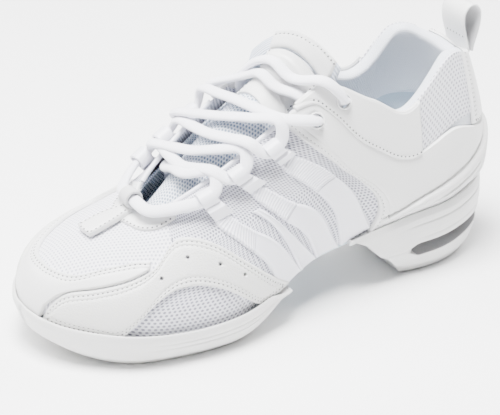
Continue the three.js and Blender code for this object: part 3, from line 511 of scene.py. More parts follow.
# %% Nets, knits and woven finishes
NET, THREADS, PEBBLES = (HONEYCOMB, "Hole", "UV"), (WEAVE, "Height", "UV"), (GRAIN, "Height", "Object")
# Each net's and knit's dark colour is its holes: what lies below them, darkened with painted shade.
LILAC = (0.84, 0.84, 0.89)
vamp_net = finish("vamp_net", LILAC, 0.7, NET, -0.35, dark=(0.42, 0.42, 0.52), share=0.9, sheen=0.2,
                  Pitch=1.9, Hole=0.3, Soft=0.13)
side_net = finish("side_net", (0.74, 0.74, 0.81), 0.7, NET, -0.45, dark=(0.20, 0.20, 0.26), share=0.95,
                  sheen=0.2, Pitch=2.0, Hole=0.34, Soft=0.12)
tongue_net = finish("tongue_net", (0.80, 0.84, 0.92), 0.75, NET, -0.5, dark=(0.20, 0.27, 0.38), share=0.95,
                    sheen=0.2, Pitch=1.9, Hole=0.36, Soft=0.12)
collar_net = finish("collar_net", (0.74, 0.74, 0.79), 0.7, NET, -0.4, dark=(0.30, 0.30, 0.36), share=0.9,
                    sheen=0.2, Pitch=2.4, Hole=0.3, Soft=0.1)
lining_knit = finish("lining_knit", (0.52, 0.60, 0.68), 0.85, NET, -0.2, dark=(0.40, 0.47, 0.56), share=0.5,
                     sheen=0.5, Pitch=1.1, Hole=0.28, Soft=0.2)
collar_knit = finish("collar_knit", (0.70, 0.73, 0.79), 0.85, NET, -0.25, dark=(0.52, 0.56, 0.66), share=0.6,
                     sheen=0.5, Pitch=1.2, Hole=0.28, Soft=0.18)
# On webbing, rib knit and lace the darker base colour lies in the grooves between threads as painted shade;
# dark here is the lighter crest colour.
web = finish("ribbed_web", (0.68, 0.68, 0.77), 0.6, THREADS, 0.3, dark=(0.95, 0.95, 1.0), share=0.95,
             sheen=0.2, Pitch=1.5, Balance=0.0)
rib_knit = finish("rib_knit", (0.50, 0.56, 0.68), 0.8, THREADS, 0.3, dark=(0.84, 0.88, 0.97), share=0.95,
                  sheen=0.3, Pitch=1.3, Balance=0.0)
lace_weave = finish("lace_weave", (0.80, 0.80, 0.86), 0.8, THREADS, 0.12, dark=(0.97, 0.97, 1.0), share=0.3,
                    sheen=0.4, Pitch=1.1, Balance=0.85)
print("woven and knitted finishes:", len(bpy.data.materials))

# %% Leathers, films and foams
PAPER = (0.73, 0.73, 0.725)
smooth_hide = finish("smooth_hide", PAPER, 0.36, PEBBLES, 0.03, coat=0.15, Pebble=1500.0)
grained_hide = finish("grained_hide", (0.68, 0.68, 0.665), 0.46, PEBBLES, 0.10, coat=0.06, Pebble=760.0)
loop_hide = finish("loop_hide", PAPER, 0.36, PEBBLES, 0.03, coat=0.15, Pebble=1500.0)
loop_back = finish("loop_back", (0.55, 0.55, 0.56), 0.7, PEBBLES, 0.05, Pebble=1100.0)
film = finish("moulded_film", (0.78, 0.78, 0.84), 0.36, PEBBLES, 0.01, coat=0.1, Pebble=2000.0)
sole_foam = finish("sole_foam", (0.66, 0.66, 0.655), 0.34, PEBBLES, 0.006, coat=0.15, marks=0.3,
                   subsurface=0.05, Pebble=2600.0)
# Near-black finish for the heel slot's floor: painted shade in the recess.
slot_shade_foam = finish("slot_shade_foam", (0.25, 0.25, 0.26), 0.6, PEBBLES, 0.02, Pebble=1500.0)
tread_rubber = finish("tread_rubber", (0.62, 0.62, 0.61), 0.6, PEBBLES, 0.04, marks=0.6, Pebble=1200.0)
board_fibre = finish("board_fibre", (0.60, 0.56, 0.48), 0.9, PEBBLES, 0.05, Pebble=1600.0)
stiffener = finish("stiffener", (0.72, 0.72, 0.70), 0.55, PEBBLES, 0.02, Pebble=1400.0)
hard_trim = finish("hard_trim", (0.86, 0.86, 0.85), 0.3, PEBBLES, 0.005, coat=0.3, Pebble=2600.0)
thread = finish("thread", (0.80, 0.80, 0.79), 0.7, (WEAVE, "Height", "Object"), 0.01, Pitch=0.0004)
# Near-black beads between the stitches: painted shade for the needle holes.
needle_hole_shade = finish("needle_hole_shade", (0.10, 0.10, 0.11), 0.9, PEBBLES, 0.005)
floor_finish = finish("floor_paper", (0.93, 0.93, 0.93), 0.6, PEBBLES, 0.01, marks=0.0, Pebble=700.0)
floor.data.materials.append(floor_finish)
print("finishes:", len(bpy.data.materials))

# %% [markdown]
# ## Panels of the upper
# A leather or mesh panel is four edges drawn in (u, v), filled in between, and given a wall that rolls
# over at its rim. Shrinkwrapping a flat sheet would be quicker, but its rim would stay sharp and its seams
# would slide. Here rings of points crowd near the rim, so that the roll and the stitch grooves are real
# shape.

# %% Sweeping a section along a line
def swept(path, normals, section):
    """A section of (aside, up) points, carried along a path."""
    along = unit(np.gradient(path, axis=0))
    normals = unit(normals - along * (normals * along).sum(1)[:, None])
    side = np.cross(along, normals)
    section = np.asarray(section, float)
    return (path[:, None] + side[:, None] * section[None, :, :1] + normals[:, None] * section[None, :, 1:])


def capped(rows):
    """Faces round a swept section and over both of its ends."""
    n = rows.shape[1]
    last = (rows.shape[0] - 1) * n
    return grid_faces(rows.shape[0], n, ring=True) + [tuple(range(n))[::-1], tuple(range(last, last + n))]


def lengths_along(line):
    """How far each point of a line lies from its start."""
    return np.concatenate([[0], np.cumsum(np.linalg.norm(np.diff(line, axis=0), axis=1))])


def at_length(line, lengths, far):
    """The place that lies so far along a line of points."""
    return np.stack([np.interp(far, lengths, line[:, axis]) for axis in range(3)], -1)


# %% A patch between four edges
RIM_RINGS = (0.0, 0.15, 0.5, 1.0, 1.7)
SEAM_RINGS = (-0.45, 0, 0.45)
RIM_SHARE = 0.42


def curve_in(edge, share):
    """The (u, v) that lies at this share of an edge."""
    edge = np.array(edge, float)
    return smooth_through(edge, np.asarray(share) * (len(edge) - 1))


def graded(length, rings, count):
    """Shares of a length: rings close to both ends and even steps between."""
    fit = min(1.0, RIM_SHARE * length / rings[-1]) / max(length, 1e-6)
    ends = np.array(rings) * fit
    return np.concatenate([ends, np.linspace(ends[-1], 1 - ends[-1], count + 1)[1:-1], 1 - ends[::-1]])


class Outline:
    """Four edges in (u, v) and the patch between them."""

    def __init__(self, bottom, top, start=None, finish=None):
        self.bottom, self.top = np.array(bottom, float), np.array(top, float)
        self.start = np.array([self.bottom[0], self.top[0]] if start is None else start, float)
        self.finish = np.array([self.bottom[-1], self.top[-1]] if finish is None else finish, float)

    def at(self, s, t):
        s, t = np.broadcast_arrays(np.asarray(s, float), np.asarray(t, float))
        low, high = curve_in(self.bottom, s), curve_in(self.top, s)
        left, right = curve_in(self.start, t), curve_in(self.finish, t)
        s, t = s[..., None], t[..., None]
        corners = ((1 - s) * (1 - t) * self.bottom[0] + s * (1 - t) * self.bottom[-1]
                   + (1 - s) * t * self.top[0] + s * t * self.top[-1])
        return low * (1 - t) + high * t + left * (1 - s) + right * s - corners

    def lengths(self, shares, across):
        """Length in mm of the lines across (or along) the patch at these shares."""
        fine = np.linspace(0, 1, 13)
        mesh_s, mesh_t = np.meshgrid(shares, fine, indexing="ij")
        place_at = self.at(mesh_s, mesh_t) if across else self.at(mesh_t, mesh_s)
        points = on_last(place_at[..., 0], place_at[..., 1])
        return np.linalg.norm(np.diff(points, axis=1), axis=2).sum(1)

    def turned(self):
        return Outline(*(medial_of(edge) for edge in (self.bottom, self.top, self.start, self.finish)))


print("rings near a rim in mm:", RIM_RINGS)

# %% A patch with a wall and a rolled rim
MOST_ROLL = 1.7


def flat_pattern(points):
    """Millimetres along and across a grid of points, measured on the surface."""
    along = np.linalg.norm(np.diff(points, axis=0), axis=2)
    across = np.linalg.norm(np.diff(points, axis=1), axis=2)
    middle = points.shape[1] // 2
    x = np.concatenate([[0], np.cumsum(along[:, middle])])
    y = np.concatenate([np.zeros((len(points), 1)), np.cumsum(across, axis=1)], axis=1)
    y = y - y[:, middle:middle + 1]
    return np.stack([np.broadcast_to(x[:, None], y.shape), y], -1)


def rolled(nearest, roll):
    """A quarter circle in side view: 0 at the rim, 1 from one roll inwards."""
    return np.sqrt(np.clip(1 - (1 - np.clip(nearest / roll, 0, 1)) ** 2, 0, 1))


def sheets(outline, layer, step, rings, relief=None, roll=None, both=False):
    """Outer and inner grids of a panel, and how far each point is from each edge in mm."""
    inner, outer = layer
    widths = outline.lengths(np.linspace(0, 1, 9), True)
    lengths = outline.lengths(np.linspace(0, 1, 5), False)
    along = graded(lengths.mean(), rings, max(2, int(lengths.max() / step)))
    across = graded(max(widths.mean(), 1), rings, max(2, int(widths.max() / step)))
    width_at = outline.lengths(along, True)
    length_at = outline.lengths(across, False)
    s = np.stack([graded(one, rings, len(along) - 2 * len(rings) + 1) for one in length_at], 1)
    t = np.stack([graded(one, rings, len(across) - 2 * len(rings) + 1) for one in width_at], 0)
    place_at = outline.at(s, t)
    width, length = width_at[:, None], length_at[None, :]
    far = {"bottom": t * width, "top": (1 - t) * width, "start": s * length, "finish": (1 - s) * length}
    nearest = np.minimum.reduce(list(far.values()))
    curl = rolled(nearest, roll or min(outer - inner, MOST_ROLL))
    base = (inner + outer) / 2 if both else inner
    u, v = place_at[..., 0], place_at[..., 1]
    extra = 0 if relief is None else relief(far, u, v)
    top = skin(u, v, base + (outer - base + extra) * curl)
    low = skin(u, v, base - (base - inner) * curl if both else np.full(u.shape, inner))
    return top, low


def shell(name, top, low, finish_with, plan=False):
    """Joins the two grids of a panel round their rim into one closed skin."""
    rows, columns = top.shape[:2]
    count = rows * columns
    faces = grid_faces(rows, columns) + grid_faces(rows, columns, count)
    rim = ([(i, 0) for i in range(rows)] + [(rows - 1, j) for j in range(1, columns)]
           + [(i, columns - 1) for i in range(rows - 2, -1, -1)] + [(0, j) for j in range(columns - 2, 0, -1)])
    ids = [i * columns + j for i, j in rim]
    faces += [(a, b, b + count, a + count) for a, b in zip(ids, ids[1:] + ids[:1])]
    pattern = (top[..., :2] if plan else flat_pattern(top)).reshape(-1, 2)
    return mesh_piece(name, np.concatenate([top.reshape(-1, 3), low.reshape(-1, 3)]), faces, finish_with,
                      uv=np.concatenate([pattern, pattern]))


# %% Grooves and rows of stitches
GROOVE_DEPTH, GROOVE_WIDTH = 0.42, 0.5
SEAM_POINTS, SEAM_ENDS, DEEPEST_SEAM = 161, 0.01, 0.45


def bell(x, middle, width):
    """A smooth hump, 1 at its middle."""
    return np.exp(-(((x - middle) / width) ** 2))


def seam_rings(seams):
    """Rings near the rim, and three more at every row of stitches."""
    insets = {inset for _, rows in seams for inset in rows}
    return sorted({*RIM_RINGS, *(inset + aside for inset in insets for aside in SEAM_RINGS)})


def grooved(relief, far, seams):
    """The relief with a groove along every row of stitches."""
    for edges, insets in seams:
        near = np.minimum.reduce([far[edge] for edge in edges])
        for inset in insets:
            relief = relief - GROOVE_DEPTH * bell(near, inset, GROOVE_WIDTH)
    return relief


def stitch_rows(outline, height, seams):
    """Lines of (points, normals) that run at the given insets beside the named edges."""
    fine = np.linspace(0.0, 1.0, SEAM_POINTS)
    widths, lengths = outline.lengths(fine, True), outline.lengths(fine, False)
    lines = []
    for edges, insets in seams:
        for inset in insets:
            for edge in edges:
                across = edge in ("bottom", "top")
                share = inset / np.maximum(widths if across else lengths, 1e-6)
                keep = share < DEEPEST_SEAM
                near = share if edge in ("bottom", "start") else 1 - share
                s, t = (fine, near) if across else (near, fine)
                keep &= (fine > SEAM_ENDS) & (fine < 1 - SEAM_ENDS)
                if keep.sum() < 4:
                    continue
                spots = outline.at(s[keep], t[keep])
                lines.append((skin(spots[:, 0], spots[:, 1], np.full(keep.sum(), height)),
                              outward(spots[:, 0], spots[:, 1])))
    return lines


print("groove depth in mm:", GROOVE_DEPTH)

# %% [markdown]
# Stitches are what tells the eye how big a shoe is. A seam here is a row of short thread lozenges
# with a near-black bead between each pair, painted shade for the needle hole: painted lines would vanish at the
# side and round the back.

# %% Stitches
PITCH = 2.35
THREAD = (0.85, 0.26, 0.20)
# Size of the near-black bead of painted shade at each needle hole.
NEEDLE_SHADE = (0.55, 0.55, 0.10)
END_RADIUS = 0.12


def lozenge(segments=6, rings=(-1.0, -0.6, 0.0, 0.6, 1.0)):
    """A short bead with blunt ends, one unit long each way."""
    points, faces = [], []
    for x in rings:
        r = math.sqrt(max(0.0, 1 - x * x)) if abs(x) < 1 else END_RADIUS
        for k in range(segments):
            angle = 2 * math.pi * k / segments
            points.append((x, r * math.cos(angle), r * math.sin(angle)))
    last = segments * (len(rings) - 1)
    faces += grid_faces(len(rings), segments, ring=True)
    faces += [tuple(range(segments))[::-1], tuple(range(last, last + segments))]
    return np.array(points), faces


LOZENGE = lozenge()


def stitching(name, lines, body=None):
    """One piece with every stitch of a seam: threads and near-black beads of painted shade for the needle holes
    take turns.
    """
    points, faces, holes = [], [], []
    shape, shape_faces = LOZENGE
    for line, normals in lines:
        steps = lengths_along(line)
        count = int(steps[-1] / PITCH)
        if count < 2:
            continue
        for k in range(2 * count):
            far = (k + 0.5) * steps[-1] / (2 * count)
            up = unit(at_length(normals, steps, far))
            ahead = at_length(line, steps, far + 0.4) - at_length(line, steps, far - 0.4)
            ahead = unit(ahead - up * ahead.dot(up))
            sizes = NEEDLE_SHADE if k % 2 else THREAD
            faces += [tuple(i + len(points) * len(shape) for i in face) for face in shape_faces]
            holes += [k % 2] * len(shape_faces)
            points.append(at_length(line, steps, far) + shape[:, :1] * sizes[0] * ahead
                          + shape[:, 1:2] * sizes[1] * np.cross(up, ahead) + shape[:, 2:] * sizes[2] * up)
    item = mesh_piece(name, np.concatenate(points), faces, [thread, needle_hole_shade], weld=False)
    item.data.polygons.foreach_set("material_index", holes)
    return attach(item, body=body)


print("points in a stitch:", len(LOZENGE[0]))

# %% A sewn panel, on one side or on both
PUFF_REACH, THREAD_SINKS = 6, 0.22
SIDES = {"lateral": lambda outline: outline, "medial": lambda outline: outline.turned()}


def sewn_panel(name, outline, layer, finish_with, slot, node=None, step=2.6, seams=(), puff=0.0, extra=None,
               body=None, roll=None, both=False, plan=False):
    """seams: (edges, insets in mm). Each becomes a groove with a row of stitches in it."""

    def relief(far, u, v):
        swell = puff * np.clip(np.minimum.reduce(list(far.values())) / PUFF_REACH, 0, 1)
        return grooved(swell, far, seams) + (extra(far, u, v) if extra else 0)

    top, low = sheets(outline, layer, step, seam_rings(seams), relief, roll, both)
    item = attach(shell(name, top, low, finish_with, plan), [node] if node else (), body)
    lines = stitch_rows(outline, layer[1] - THREAD_SINKS, seams)
    if lines:
        stitching(name + "_stitching", lines, body)
    return item


def both_sides(name, outline, *args, **options):
    """The same panel on the outer and on the inner side."""
    for side, turn in SIDES.items():
        sewn_panel(f"{side}_{name}", turn(outline), *args, node=f"{side}_{name}", **options)


def level(v, *stations):
    """An edge at one height, through these stations."""
    return [[u, v] for u in stations]


def shifted(edge, du, dv):
    return [[u + du, v + dv] for u, v in edge]


# %% [markdown]
# ## Mesh and linings
# The base of the upper is open mesh: fine over the toes, coarser at the sides where it shows between the
# straps. Real holes would take millions of faces, so each mesh is a closed skin, and its holes are a sunken
# pattern tinted dark: what lies below, darkened with painted shade. The lining lies under it with the hidden
# stiffeners between, and shows only at the opening.

# %% Mesh skins and linings
# Layers, as the millimetres from the last to a panel's inner and outer face.
MESH, HIDE, LINING = (-1.2, 0.0), (0.1, 1.9), (-4.8, -3.8)
SPLIT = 8.2
QUARTER_FRONT = [[3.8, 0], [3.7, 0.1], [3.66, 0.2], [3.74, 0.29], [3.95, 0.38], [4.3, 0.46], [4.76, 0.53],
                 [5.22, 0.65], [5.6, 0.81], [5.86, 1]]
MESH_UNDER = 0.35
vamp_stations = (SPLIT - 0.05, 9, 9.6, 10.2, 10.7, 11.1, 11.6, 12.3, float(facing(SPLIT)) + 0.05)
vamp = Outline(level(0.02, *vamp_stations), level(0.99, *vamp_stations))
sewn_panel("vamp_mesh", vamp, (-1.4, -0.15), vamp_net, "mesh", node="vamp_mesh", step=3, plan=True)
flank = Outline(level(0, 9.7, 8.2, 7, 6, 5, 3.85 - MESH_UNDER),
                level(0.99, SPLIT, 7.6, 7, 6.4, 5.91 - MESH_UNDER),
                start=[[9.7, 0], [9.7, 0.22], [9.2, 0.4], [SPLIT, 0.62], [SPLIT, 0.8], [SPLIT, 0.99]],
                finish=[[3.5, 0], *shifted(QUARTER_FRONT[1:-1], -MESH_UNDER, 0), [5.56, 0.99]])
both_sides("side_mesh", flank, MESH, side_net, "mesh", step=3)
under_vamp = Outline(level(0.03, *vamp_stations), level(0.85, *vamp_stations))
sewn_panel("vamp_lining", under_vamp, LINING, tongue_net, "lining", node="vamp_lining", step=4)
under_flank = Outline(level(0.03, SPLIT, 7, 6, 5, 3.9), level(0.9, SPLIT, 7.3, 6.6, 5.9, 5.1),
                      finish=[[3.9, 0.03], [3.9, 0.25], [4.4, 0.48], [5.1, 0.9]])
both_sides("side_lining", under_flank, LINING, tongue_net, "lining", step=4)
print("mesh skins and linings made:", len(made))

# %% [markdown]
# ## Leather of the forefoot
# The grained overlay sweeps from the toe up to the lace and back to the arch, and leaves a window of bare
# mesh. Its rim is thick and rolled, with two rows of stitches. The smooth toe cap tucks against it. A hole
# cut for the window would need its own rim, so the lower edge of the panel simply runs round it.

# %% Overlays
OVERLAY_TOP = [[10.3, 0.03], [10.05, 0.27], [9.58, 0.37], [9.1, 0.455], [8.6, 0.55], [8.3, 0.66], [8.05, 0.71],
               [7.75, 0.68], [7.4, 0.58], [7, 0.43], [6.5, 0.25], [6.1, 0.12], [5.8, 0.03]]
OVERLAY_LOW = [[10.36, 0], [9.9, 0], [9.5, 0], [9.1, 0], [8.86, 0.12], [8.55, 0.28], [8.2, 0.36], [7.8, 0.36],
               [7.35, 0.28], [6.95, 0.16], [6.5, 0.01], [6.1, 0], [5.75, 0]]
# A twin row of stitches.
TWIN = (2.6, 4.6)
both_sides("overlay", Outline(OVERLAY_LOW, OVERLAY_TOP), (0.0, 2.1), grained_hide, "grained_leather", step=2.2,
           seams=[(("top",), TWIN), (("bottom",), (2.4, 4.2))], puff=0.3, roll=1.2)
print("overlay points:", len(made["lateral_overlay"].data.vertices))

# %% Toe cap and the trim round the end of the throat
CAP_GAP = 0.012
CAP_LOW = [[8.72, 0.53], [9.1, 0.455], [9.58, 0.37], [10.05, 0.27], [10.3, 0.12]]
CAP_HIGH = [[8.72, 0.6], [9.1, 0.6], [9.6, 0.54], [10.08, 0.43], [10.6, 0.4], [10.8, 0.4]]
TRIM_LOW = [[7.95, 0.86], [8.6, 0.84], [9.4, 0.86], [10.2, 0.88], [10.8, 0.88]]
TRIM_HIGH = level(1.0, 7.95, 8.6, 9.4, 10.2, 10.8)


def across_toe(edge):
    """An edge of the outer side that goes on over the toe to the inner side."""
    return [*edge, *medial_of(edge)[::-1].tolist()]


cap = Outline(across_toe([*shifted(CAP_LOW, 0, CAP_GAP), [10.46, 0]]), across_toe(CAP_HIGH))
sewn_panel("toe_cap", cap, HIDE, smooth_hide, "smooth_leather", node="toe_cap", step=2.2,
           seams=[(("top",), (1.9, 3.6))], puff=0.25, roll=1.2)
trim = Outline(across_toe(TRIM_LOW), across_toe(TRIM_HIGH))
sewn_panel("throat_trim", trim, (0.05, 1.5), smooth_hide, "smooth_leather", node="throat_trim", step=2.2,
           seams=[(("bottom",), (1.4,))])
print("forefoot pieces so far:", len(made))

# %% [markdown]
# Four ventilation holes pierce each overlay. They are cut with a boolean, since a real hole keeps its dark
# inside from every side.

# %% Ventilation holes
PIERCED = [(8.46, 0.465), (7.9, 0.56), (7.36, 0.44), (6.93, 0.31)]
HOLE_RADIUS = 0.95


def cutter(name, spots, radius, depth=8.0, sides=16):
    """Round rods that stand square to the last at these spots."""
    points, faces = [], []
    for u, v in spots:
        centre, up = on_last(u, v), outward(u, v)
        side = unit(np.cross(up, [0, 1, 0.3]))
        other = np.cross(up, side)
        base = len(points)
        for end in (-depth, depth):
            for k in range(sides):
                angle = 2 * math.pi * k / sides
                points.append(centre + up * end + (side * math.cos(angle) + other * math.sin(angle)) * radius)
        faces += [(base + k, base + (k + 1) % sides, base + sides + (k + 1) % sides, base + sides + k)
                  for k in range(sides)]
        faces += [tuple(range(base, base + sides))[::-1], tuple(range(base + sides, base + 2 * sides))]
    return mesh_piece(name, points, faces, hard_trim, weld=False)


def cut(item, spots, radius):
    """Drills a piece and keeps the result as its mesh."""
    knife = cutter("knife", spots, radius)
    change = item.modifiers.new("holes", "BOOLEAN")
    change.operation, change.object, change.solver = "DIFFERENCE", knife, "EXACT"
    bpy.context.view_layer.update()
    fresh = bpy.data.meshes.new_from_object(item.evaluated_get(bpy.context.evaluated_depsgraph_get()))
    item.modifiers.clear()
    item.data = fresh
    bpy.data.objects.remove(knife)
    del made["knife"]


for side in SIDES:
    spots = [(float(facing(u)) if side == "medial" else u, v) for u, v in PIERCED]
    cut(made[f"{side}_overlay"], spots, HOLE_RADIUS)
print("holes a side:", len(PIERCED))

# %% [markdown]
# ## Straps and lace loops
# Three straps a side fan from the lace loops to the arch. Near its loop each is ribbed webbing; below, the
# webbing is fused under smooth film with a raised bead down both edges. One strip with two finishes would
# blur where they meet, so each strap is split in two panels that share one outline.

# %% Straps
STRAPS = {
    "strap_front": ([[7.3, 0.73], [7.26, 0.645], [6.78, 0.43], [6.3, 0.22], [6.0, 0.0]],
                    [[7.1, 0.765], [7.02, 0.68], [6.72, 0.54], [6.08, 0.32], [5.38, 0.0]]),
    "strap_middle": ([[6.62, 0.75], [6.55, 0.665], [6.1, 0.47], [5.48, 0.26], [5.0, 0.0]],
                     [[6.47, 0.8], [6.4, 0.72], [5.88, 0.52], [5.15, 0.32], [4.45, 0.0]]),
    "strap_rear": ([[6.02, 0.78], [5.96, 0.7], [5.44, 0.5], [4.78, 0.28], [4.42, 0.0]],
                   [[5.84, 0.825], [5.74, 0.74], [5.0, 0.52], [4.3, 0.36], [3.76, 0.06]]),
}
BEAD_INSET, BEAD_WIDTH, BEAD_HEIGHT = 1.5, 0.55, 0.5
WEB_SHARE = 0.55


def beads(far, u, v):
    """A raised line beside both long edges."""
    return BEAD_HEIGHT * bell(np.minimum(far["bottom"], far["top"]), BEAD_INSET, BEAD_WIDTH)


def part_of(outline, first, last):
    """The stretch of an outline between two shares of its length."""
    return Outline(*(curve_in(edge, np.linspace(first, last, 5)) for edge in (outline.bottom, outline.top)))


for name, (low, high) in STRAPS.items():
    for side, turn in SIDES.items():
        strap = turn(Outline(low, high))
        sewn_panel(f"{side}_{name}", part_of(strap, 0, WEB_SHARE), (0.1, 1.3), web, "webbing",
                   node=f"{side}_{name}", step=2, extra=beads)
        sewn_panel(f"{side}_{name}_film", part_of(strap, WEB_SHARE, 1), (0.1, 1.0), film, "moulded_film",
                   step=2, extra=beads)
brace = Outline([[6.66, 0.62], [6.35, 0.5], [5.9, 0.28], [5.42, 0.0]],
                [[6.5, 0.61], [6.05, 0.42], [5.55, 0.22], [4.98, 0.0]])
both_sides("strap_brace", brace, (0.1, 1.1), film, "moulded_film", step=2, extra=beads)
print("straps a side:", len(STRAPS), "and a brace")

# %% [markdown]
# Each lace loop is a moulded tab that folds over the lace: flat and wide where it meets the strap, narrow
# and round at the bar. It is lofted from cross-sections so that tab and tube are one skin.

# %% Where the lace loops stand
# Each loop has the place of its ring, then the two corners of the tab's foot.
RINGS = [((7.34, 0.85), (7.25, 0.68), (7.05, 0.71)), ((6.76, 0.87), (6.56, 0.7), (6.42, 0.75)),
         ((6.12, 0.87), (5.98, 0.735), (5.8, 0.775))]
RING_BORE, RING_WALL = 3.6, 1.2
RING_RISE = 0.8 + RING_BORE + RING_WALL
TURN_SIDE = {"lateral": lambda u: u, "medial": lambda u: float(facing(u))}


def ring_frame(i, side):
    """The middle of a ring and the direction of the lace through it."""
    (u, v), _, _ = RINGS[i]
    turn = TURN_SIDE[side]
    centre = skin(turn(u), v, RING_RISE)
    return centre, unit(skin(turn(u - 0.08), v, RING_RISE) - centre)


def circle(radius, first=0.0, span=360.0, count=24, closed=True):
    """Points on a circle, from 12 o'clock backwards, in degrees."""
    angles = [math.radians(first + span * k / (count if closed else count - 1)) for k in range(count)]
    return [(-math.sin(angle) * radius, math.cos(angle) * radius) for angle in angles]


print("lace loops a side:", len(RINGS))

# %% One lace loop
LOOP_STATIONS = (-1.0, -0.93, -0.6, -0.2, 0.2, 0.6, 0.93, 1.0)
END_SHRINK, BAR_HALF, FOOT_HALF, FOOT_RISE = 0.94, 3.9, 4.9, 1.4


def bridge(points, n_out, n_in, out_base, in_base):
    """Faces between two rings of different counts: each step takes the shorter diagonal."""
    spots = np.array(points)
    start = int(np.argmin(np.linalg.norm(spots[in_base:in_base + n_in] - spots[out_base], axis=1)))
    ahead = spots[out_base + 2] - spots[out_base]
    turning = -1 if (spots[in_base + (start + 2) % n_in] - spots[in_base + start]).dot(ahead) < 0 else 1
    i = j = 0
    faces = []
    while i < n_out or j < n_in:
        a, b = out_base + i % n_out, in_base + (start + turning * j) % n_in
        a2, b2 = out_base + (i + 1) % n_out, in_base + (start + turning * (j + 1)) % n_in
        shorter = np.linalg.norm(spots[a2] - spots[b]) < np.linalg.norm(spots[b2] - spots[a])
        if j >= n_in or (i < n_out and shorter):
            faces.append((a, a2, b))
            i += 1
        else:
            faces.append((a, b2, b))
            j += 1
    return faces


def loop_side_view(reach, drop):
    """The loop seen along the lace: round the bar, then down both faces of the tab to its foot."""
    front = [(reach, drop + 0.9), (reach * 0.8, drop * 0.78 + 1.8), (reach * 0.55, drop * 0.4 + 3.4)]
    bar = circle(RING_BORE + RING_WALL - 0.2, -62, 260, 20, closed=False)
    return front + bar + [(reach * 0.5, drop - 0.3), (reach, drop - 0.9)]


def lace_loop(i, side):
    """The side view, swept along the lace with a taper, less the bore."""
    (u, v), low, high = RINGS[i]
    turn = TURN_SIDE[side]
    centre, along = ring_frame(i, side)
    corners = [skin(turn(low[0]), low[1], FOOT_RISE), skin(turn(high[0]), high[1], FOOT_RISE)]
    foot = (corners[0] + corners[1]) / 2
    half_foot = max(np.linalg.norm(corners[0] - corners[1]) / 2, FOOT_HALF)
    down = unit((foot - centre) - along * (foot - centre).dot(along))
    out = unit(np.cross(down, along))
    out *= np.sign(out.dot(outward(turn(u), v)))
    reach, drop, lean = ((foot - centre).dot(axis) for axis in (down, out, along))
    side_view, bore = loop_side_view(reach, drop), circle(RING_BORE - 0.25)
    middle = np.mean(side_view, 0)
    points, faces = [], []
    for outline in (side_view, bore):
        faces += grid_faces(len(LOOP_STATIONS), len(outline), len(points), ring=True)
        for w in LOOP_STATIONS:
            for a, b in outline:
                share = np.clip(a / reach, 0, 1)
                half = BAR_HALF * (1 - share) + half_foot * share
                if outline is side_view:
                    shrink = END_SHRINK if abs(w) == 1 else 1.0
                    a, b = middle[0] + (a - middle[0]) * shrink, middle[1] + (b - middle[1]) * shrink
                points.append(centre + down * a + out * b + along * (w * half + lean * share))
    n_out, n_in, last = len(side_view), len(bore), len(LOOP_STATIONS) - 1
    bore_base = n_out * len(LOOP_STATIONS)
    faces += bridge(points, n_out, n_in, 0, bore_base)
    faces += bridge(points, n_out, n_in, n_out * last, bore_base + n_in * last)
    name = f"{side}_lace_loop_{i + 1}"
    return attach(mesh_piece(name, points, faces, film, weld=False), [name])


for i in range(len(RINGS)):
    for side in SIDES:
        lace_loop(i, side)
print("straps and loops made:", len(made))

# %% [markdown]
# ## Rear of the upper
# The quarter is the big smooth panel from the arch to the heel. Its front rim lies thick over the side
# mesh, with two rows of stitches; the eyestay overlaps its top. Where the heel cup meets it the leather
# dips into a dark crease. Sculpting could press the crease in by hand, but a formula keeps it beside the
# cup at any size.

# %% Lines of the quarter and the heel cup
CUP_FOOT = 0.09
CUP_TOP = [[3.4, 0.11], [3.1, 0.14], [2.7, 0.18], [2.2, 0.2], [1.6, 0.24], [1, 0.33], [0.5, 0.43], [0, 0.45]]
SEAM_FRONT = [[5.2, 0.93], [4.96, 0.85], [4.6, 0.76], [4.26, 0.71], [3.5, 0.64], [2.75, 0.58]]
QUARTER_SEAM = [[5.86, 1], [5.5, 0.975], *SEAM_FRONT, [2.1, 0.55], [1.4, 0.48], [0.7, 0.46], [0.03, 0.46]]
QUARTER_LOW = level(0, 3.8, 3.4, 3.1, 2.8, 2.5, 2.2, 1.9, 1.6, 1.2, 0.8, 0.4, 0.03)
WALL_HEIGHT = 105.0
CREASE_DEPTH, CREASE_ABOVE, CREASE_WIDTH, CREASE_END = 1.9, 0.9, 1.0, 3.5


def outer_station(u):
    """The outer side's station that faces this one, for shapes that are the same on both sides."""
    table = np.array(FACING, float)
    return np.where(u > 10.9, np.interp(-u, -table, range(len(table))), np.abs(u))


def above_cup(u, v):
    """Millimetres up from the top of the heel cup."""
    line = np.array(CUP_TOP, float)[::-1]
    return (v - np.interp(outer_station(u), line[:, 0], line[:, 1])) * WALL_HEIGHT


def crease(far, u, v):
    """The dip of the leather just above the heel cup."""
    near = outer_station(u) < CREASE_END
    return np.where(near, -CREASE_DEPTH * bell(above_cup(u, v), CREASE_ABOVE, CREASE_WIDTH), 0)


print("crease depth in mm:", CREASE_DEPTH)

